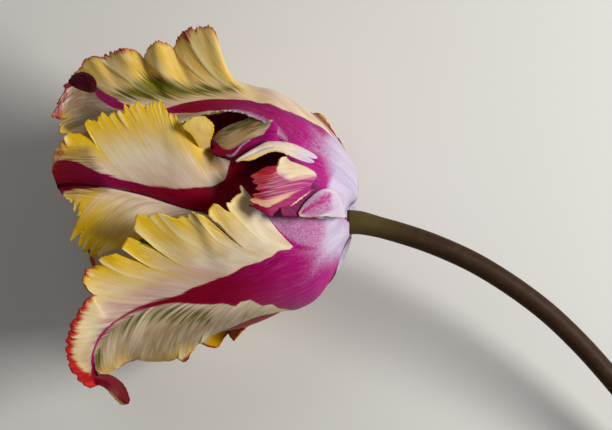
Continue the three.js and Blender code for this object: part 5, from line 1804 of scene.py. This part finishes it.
@dataclass(frozen=True)
class StemFinish:
    """Smooth waxy stem, olive green with a purple-brown bloom on its upper side.

    Attributes:
        green: Its main colour.
        brown: The bloom on its upper side.
        pale: Its colour below the petals, and its fine streaks.
        roughness: How dull the surface is.
        gloss: How strongly it reflects.
    """

    green: Colour = (44, 34, 12)
    brown: Colour = (54, 34, 22)
    pale: Colour = (84, 72, 38)
    roughness: float = 0.55
    gloss: float = 0.12

    def material(self) -> Material:
        """Builds the material from the stem's own coordinates.

        Returns:
            The material.
        """
        made = Nodes("stem_skin")
        green, brown, pale = (linear(*tone) for tone in (self.green, self.brown, self.pale))
        place = made.add("TexCoord").outputs["Object"]
        streak = made.noise(place, (380.0, 380.0, 380.0), 3.0)
        broad = made.noise(place, (55.0, 55.0, 90.0), 2.0)
        geometry = made.add("NewGeometry")
        up = made.add("SeparateXYZ", {0: geometry.outputs["Normal"]}).outputs["Z"]
        side = made.math("ADD", up, made.math("MULTIPLY", broad, 0.9))
        colour = made.mix(made.step(side, 0.2, 1.5), green, brown)
        colour = made.mix(made.step(made.layer(TAG_LAYER), 0.12, 0.0), colour, pale)
        streaks = made.math("MULTIPLY", made.step(streak, 0.45, 0.75), 0.25)
        return made.finish({
            "Base Color": made.mix(streaks, colour, pale),
            "Roughness": self.roughness,
            "Specular IOR Level": self.gloss,
            "Subsurface Weight": 0.08,
            "Subsurface Radius": (0.001, 0.0012, 0.0005),
            "Subsurface Scale": 1.0,
        }, streak, 0.12, 0.0002)


@dataclass(frozen=True)
class PlainFinish:
    """One tissue with a second one further along, both lightly mottled.

    Attributes:
        name: What it is called.
        near: The colour near the base.
        far: The colour at the end.
        change: Where one turns into the other, as a share of the length.
        roughness: How dull the surface is.
        blend: How far the change reaches to each side of its place.
        mottle: How much darker the darkest spots are.
    """

    name: str
    near: Colour
    far: Colour
    change: float
    roughness: float
    blend: float = 0.03
    mottle: float = 0.3

    def material(self) -> Material:
        """Builds the material from the mesh's layer of tags.

        Returns:
            The material.
        """
        made = Nodes(self.name)
        place = made.add("TexCoord").outputs["Object"]
        grain = made.noise(place, (1500.0, 1500.0, 1500.0), 3.0)
        share = made.step(made.layer(TAG_LAYER), self.change - self.blend, self.change + self.blend)
        colour = made.mix(share, linear(*self.near), linear(*self.far))
        dull = made.math("MULTIPLY", made.step(grain, 0.4, 0.7), self.mottle)
        colour = made.mix(dull, colour, made.mix(0.5, colour, (0.0, 0.0, 0.0)))
        surface = {"Base Color": colour, "Roughness": self.roughness}
        return made.finish(surface, grain, 0.3, 0.0002)


@dataclass(frozen=True)
class Stem:
    """The bent stem, wider where it carries the bloom and cut flat at its end.

    Attributes:
        line: Its centre line, as (x, y, height).
        radius: Half its thickness.
        receptacle: Its radius where the petals sit.
        swell: How far from the petals it narrows to its own radius.
        ribs: How many faint ribs run along it.
        rib_depth: How deep the furrows between them are, as a share of the radius.
        rib_start: How far along it they are fully there.
        rings: How many rings it is drawn with.
        sides: How many sides each ring has.
        finest: How many points its centre line is measured with.
    """

    line: Rows = (
        (-0.9, 0, 39.5), (3, -0.2, 39.5), (8, -1.3, 39.2), (16, -3.5, 38.5), (24, -6.1, 37.6),
        (32, -9.3, 36.4), (40, -13.1, 35), (48, -17.8, 33.4), (56, -23.2, 31.4),
        (64, -29.4, 29.2), (72, -36.8, 26.6), (80, -45.2, 23.8), (92, -59.5, 19.4),
        (103, -75.5, 14.8), (112, -92.5, 10.6), (118.5, -110, 7.2), (122.5, -128, 4.8),
        (124.5, -146, 3.35), (125, -162, 3.35),
    )
    radius: float = 3.35
    receptacle: float = 3.9
    swell: float = 12.0
    ribs: int = 7
    rib_depth: float = 0.006
    rib_start: float = 20.0
    rings: int = 260
    sides: int = 48
    finest: int = 4000

    def _centre(self) -> tuple[Array, Array]:
        """The centre line, evenly spaced.

        Returns:
            Its points and how far along it each one is.
        """
        line = np.asarray(self.line, float)
        spans = np.sqrt(np.linalg.norm(np.diff(line, axis=0), axis=1))
        knots = np.concatenate([[0], np.cumsum(spans)])
        rows = tuple((knot, *place) for knot, place in zip(knots, line))
        fine = lookup(rows, np.linspace(0, knots[-1], self.finest))
        travelled = np.concatenate([[0], np.cumsum(np.linalg.norm(np.diff(fine, axis=0), axis=1))])
        wanted = np.linspace(0, travelled[-1], self.rings)
        return np.stack([np.interp(wanted, travelled, fine[:, c]) for c in range(3)], -1), wanted

    def build(self) -> Piece:
        """Builds the stem with its finish.

        Returns:
            The stem.
        """
        centre, wanted = self._centre()
        along = np.gradient(centre, axis=0)
        along[0] = (1, 0, 0)
        along /= np.linalg.norm(along, axis=1, keepdims=True)
        across = np.cross((0, 0, 1), along)
        across /= np.linalg.norm(across, axis=1, keepdims=True)
        up = np.cross(along, across)
        swell = (self.receptacle - self.radius) * (1 - ease(wanted / self.swell))
        turn = spaced(self.sides)
        ribs = 1 + self.rib_depth * np.sin(self.ribs * turn) * ease(wanted / self.rib_start)[:, None]
        reach = (self.radius + swell)[:, None] * np.minimum(ribs, 1.0)
        rings = (
            centre[:, None]
            + across[:, None] * (np.cos(turn) * reach)[..., None]
            + up[:, None] * (np.sin(turn) * reach)[..., None]
        )
        rings[..., 2] = np.maximum(rings[..., 2], 0)
        bm = bmesh.new()
        close_rings(bm, rings, wanted / wanted[-1])
        return new_piece("stem_skin", bm, (StemFinish().material(),))


@dataclass(frozen=True)
class Pistil:
    """The three-sided ovary with its three-lobed stigma.

    Attributes:
        outline: (distance along the axis, radius, depth of the lobes) from base to stigma.
        lobes: How many lobes it has.
        sides: How many sides each ring has.
        rings: How many rings it is drawn with.
        finish: Its flesh, with the stigma paler.
    """

    outline: Rows = (
        (1.2, 2.1, 0), (2.6, 2.3, 0.02), (5, 2.8, 0.06), (9, 3.3, 0.08), (14, 3.5, 0.08),
        (19, 3.1, 0.08), (22, 2.6, 0.1), (23.2, 3.6, 0.3), (24.4, 4.6, 0.38), (25.4, 4.4, 0.4),
        (25.8, 2.6, 0.4),
    )
    lobes: int = 3
    sides: int = 60
    rings: int = 90
    finish: PlainFinish = PlainFinish("pistil_flesh", (176, 186, 116), (226, 214, 150), 0.86, 0.5)

    def build(self) -> Piece:
        """Builds the pistil with its finish.

        Returns:
            The pistil.
        """
        table = tuple((k, *row) for k, row in enumerate(self.outline))
        along, radius, depth = lookup(table, np.linspace(0, len(table) - 1, self.rings)).T
        turn = spaced(self.sides)
        out = radius[:, None] * (1 + depth[:, None] * np.cos(self.lobes * turn))
        back = -np.broadcast_to(along[:, None], out.shape)
        rings = np.stack([back, out * np.sin(turn), AXIS_HEIGHT + out * np.cos(turn)], -1)
        bm = bmesh.new()
        close_rings(bm, rings, along / along[-1])
        return new_piece("pistil_flesh", bm, (self.finish.material(),))


@dataclass(frozen=True)
class Stamen:
    """A filament that carries an anther.

    Attributes:
        number: Which of the six it is.
        outline: (distance along the axis, distance from it, radius) from base to end.
        first: The bearing of the first one, in degrees.
        apart: The angle between two of them, in degrees.
        anther: Where the anther's groove begins and the length over which it deepens.
        groove: The groove's depth, as a share of the radius, and its width.
        flatness: Its thickness as a share of its width.
        sides: How many sides each ring has.
        rings: How many rings it is drawn with.
    """

    number: int
    outline: Rows = (
        (2.5, 3.75, 0.8), (5, 4.4, 0.75), (9, 5.2, 0.65), (13, 5.9, 0.55), (15.2, 6.4, 0.45),
        (15.9, 6.6, 1.1), (17.5, 6.9, 1.5), (20.5, 7.2, 1.6), (23.5, 7.4, 1.4), (26, 7.4, 1),
        (27.2, 7.3, 0.4),
    )
    first: float = 15.0
    apart: float = 60.0
    anther: tuple[float, float] = (15.5, 1.5)
    groove: tuple[float, float] = (0.18, 0.35)
    flatness: float = 0.75
    sides: int = 28
    rings: int = 80

    def build(self) -> Piece:
        """Builds the stamen with its finish.

        Returns:
            The stamen.
        """
        bearing = math.radians(self.first + self.apart * (self.number - 1))
        outward = np.array((0, math.sin(bearing), math.cos(bearing)))
        sideways = np.array((0, math.cos(bearing), -math.sin(bearing)))
        table = tuple((k, *row) for k, row in enumerate(self.outline))
        along, distance, radius = lookup(table, np.linspace(0, len(table) - 1, self.rings)).T
        turn = spaced(self.sides)
        depth, width = self.groove
        groove = -depth * np.exp(-((np.abs(turn - np.pi) / width) ** 2))
        reach = radius[:, None] * (1 + groove * rise(along, *self.anther)[:, None])
        centre = outward * distance[:, None] + np.array((0, 0, AXIS_HEIGHT))
        centre[:, 0] = -along
        rings = (
            centre[:, None]
            + outward * (np.cos(turn) * reach * self.flatness)[..., None]
            + sideways * (np.sin(turn) * reach)[..., None]
        )
        bm = bmesh.new()
        close_rings(bm, rings, along / along[-1])
        finish = PlainFinish(f"stamen_{self.number}", (206, 196, 140), (46, 26, 52), 0.575, 0.75)
        return new_piece(f"stamen_{self.number}_filament", bm, (finish.material(),))


@dataclass(frozen=True)
class Lamp:
    """A round lamp that faces the bloom.

    Attributes:
        name: What it is called.
        place: Where it is.
        size: Its width.
        power: Its power, in watts.
        tone: Its colour.
        spread: The angle that its light opens to, in degrees.
        target: The place that it faces.
    """

    name: str
    place: tuple[float, float, float]
    size: float
    power: float
    tone: Colour
    spread: float
    target: tuple[float, float, float] = (-0.06, 0.04, 0.03)

    def build(self) -> None:
        """Adds the lamp to the scene."""
        light = bpy.data.lights.new(self.name, "AREA")
        light.shape = "DISK"
        light.size = self.size
        light.energy = self.power
        light.color = self.tone
        light.spread = math.radians(self.spread)
        holder = bpy.data.objects.new(self.name, light)
        holder.location = self.place
        aim = Vector(self.target) - Vector(self.place)
        holder.rotation_euler = aim.to_track_quat("-Z", "Y").to_euler()
        bpy.context.scene.collection.objects.link(holder)


@dataclass(frozen=True)
class Stage:
    """The plain pale floor, the lights and the camera, all in metres.

    Attributes:
        floor_size: The floor's width.
        floor_tone: The floor's colour.
        floor_roughness: How dull the floor is.
        floor_gloss: How strongly it reflects.
        sky_tone: The colour of the light from all around.
        sky_strength: How strong that is.
        lamps: The lamps.
        camera_place: Where the camera is, looking straight down.
        lens: Its focal length.
        sensor: The width of its sensor.
        view: How far it sees.
    """

    floor_size: float = 6.0
    floor_tone: Colour = (232, 231, 228)
    floor_roughness: float = 0.9
    floor_gloss: float = 0.2
    sky_tone: Colour = (0.9, 0.95, 1.0)
    sky_strength: float = 0.09
    lamps: tuple[Lamp, ...] = (
        Lamp("key", (0.56, 0.14, 0.42), 0.28, 3.7, (1.0, 0.97, 0.92), 150),
        Lamp("fill", (-0.35, 0.5, 0.72), 0.6, 0.95, (0.98, 0.98, 1.0), 180),
    )
    camera_place: tuple[float, float, float] = (-0.03158, 0.05174, 1.4395)
    lens: float = 257.35
    sensor: float = 36.0
    view: float = 20.0

    def build(self) -> None:
        """Builds all of it."""
        self._floor()
        self._sky()
        for lamp in self.lamps:
            lamp.build()
        self._camera()

    def _floor(self) -> None:
        """Adds the floor."""
        made = Nodes("floor_paper")
        surface = made.add("BsdfPrincipled", {
            "Base Color": linear(*self.floor_tone),
            "Roughness": self.floor_roughness,
            "Specular IOR Level": self.floor_gloss,
        })
        made.feed(made.output.inputs["Surface"], surface.outputs[0])
        bm = bmesh.new()
        bmesh.ops.create_grid(bm, x_segments=1, y_segments=1, size=self.floor_size / 2)
        floor = new_piece("floor", bm, (made.material,))
        floor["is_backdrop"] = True

    def _sky(self) -> None:
        """Adds the light from all around."""
        world = bpy.data.worlds.new("studio")
        world.use_nodes = True
        sky = world.node_tree.nodes["Background"]
        sky.inputs["Color"].default_value = (*self.sky_tone, 1.0)
        sky.inputs["Strength"].default_value = self.sky_strength
        bpy.context.scene.world = world

    def _camera(self) -> None:
        """Adds the camera."""
        camera = bpy.data.cameras.new("camera")
        camera.sensor_width = self.sensor
        camera.lens = self.lens
        camera.clip_end = self.view
        holder = bpy.data.objects.new("camera", camera)
        holder.location = self.camera_place
        bpy.context.scene.collection.objects.link(holder)
        bpy.context.scene.camera = holder


def plain(value: object) -> object:
    """Turns vectors into lists of plain numbers.

    Args:
        value: A number, or numbers in lists, vectors or dictionaries.

    Returns:
        The same value in lists and dictionaries of plain numbers.
    """
    if isinstance(value, dict):
        return {name: plain(part) for name, part in value.items()}
    if isinstance(value, (list, tuple, Vector)):
        return [plain(part) for part in value]
    return float(value)


def main() -> None:
    """Builds the flower piece by piece, then its stage."""
    logging.basicConfig(level=logging.INFO, format="%(name)s: %(message)s")
    bpy.context.scene.view_settings.view_transform = "Standard"
    builders = [(tepal.node, tepal.node, tepal) for tepal in tepals()]
    builders += [("stem", "stem", Stem()), ("pistil", "pistil", Pistil())]
    builders += [(f"stamen_{k}", "stamen", Stamen(k)) for k in range(1, STAMENS + 1)]
    for node, slot, builder in builders:
        piece = builder.build()
        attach(piece, "root")
        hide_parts(node)
        LOG.info("%s: %d faces", piece.name, len(piece.data.polygons))
    Stage().build()
    sizes = {"cad": plain(CAD_BOX), "model": plain(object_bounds())}


if __name__ == "__main__":
    main()
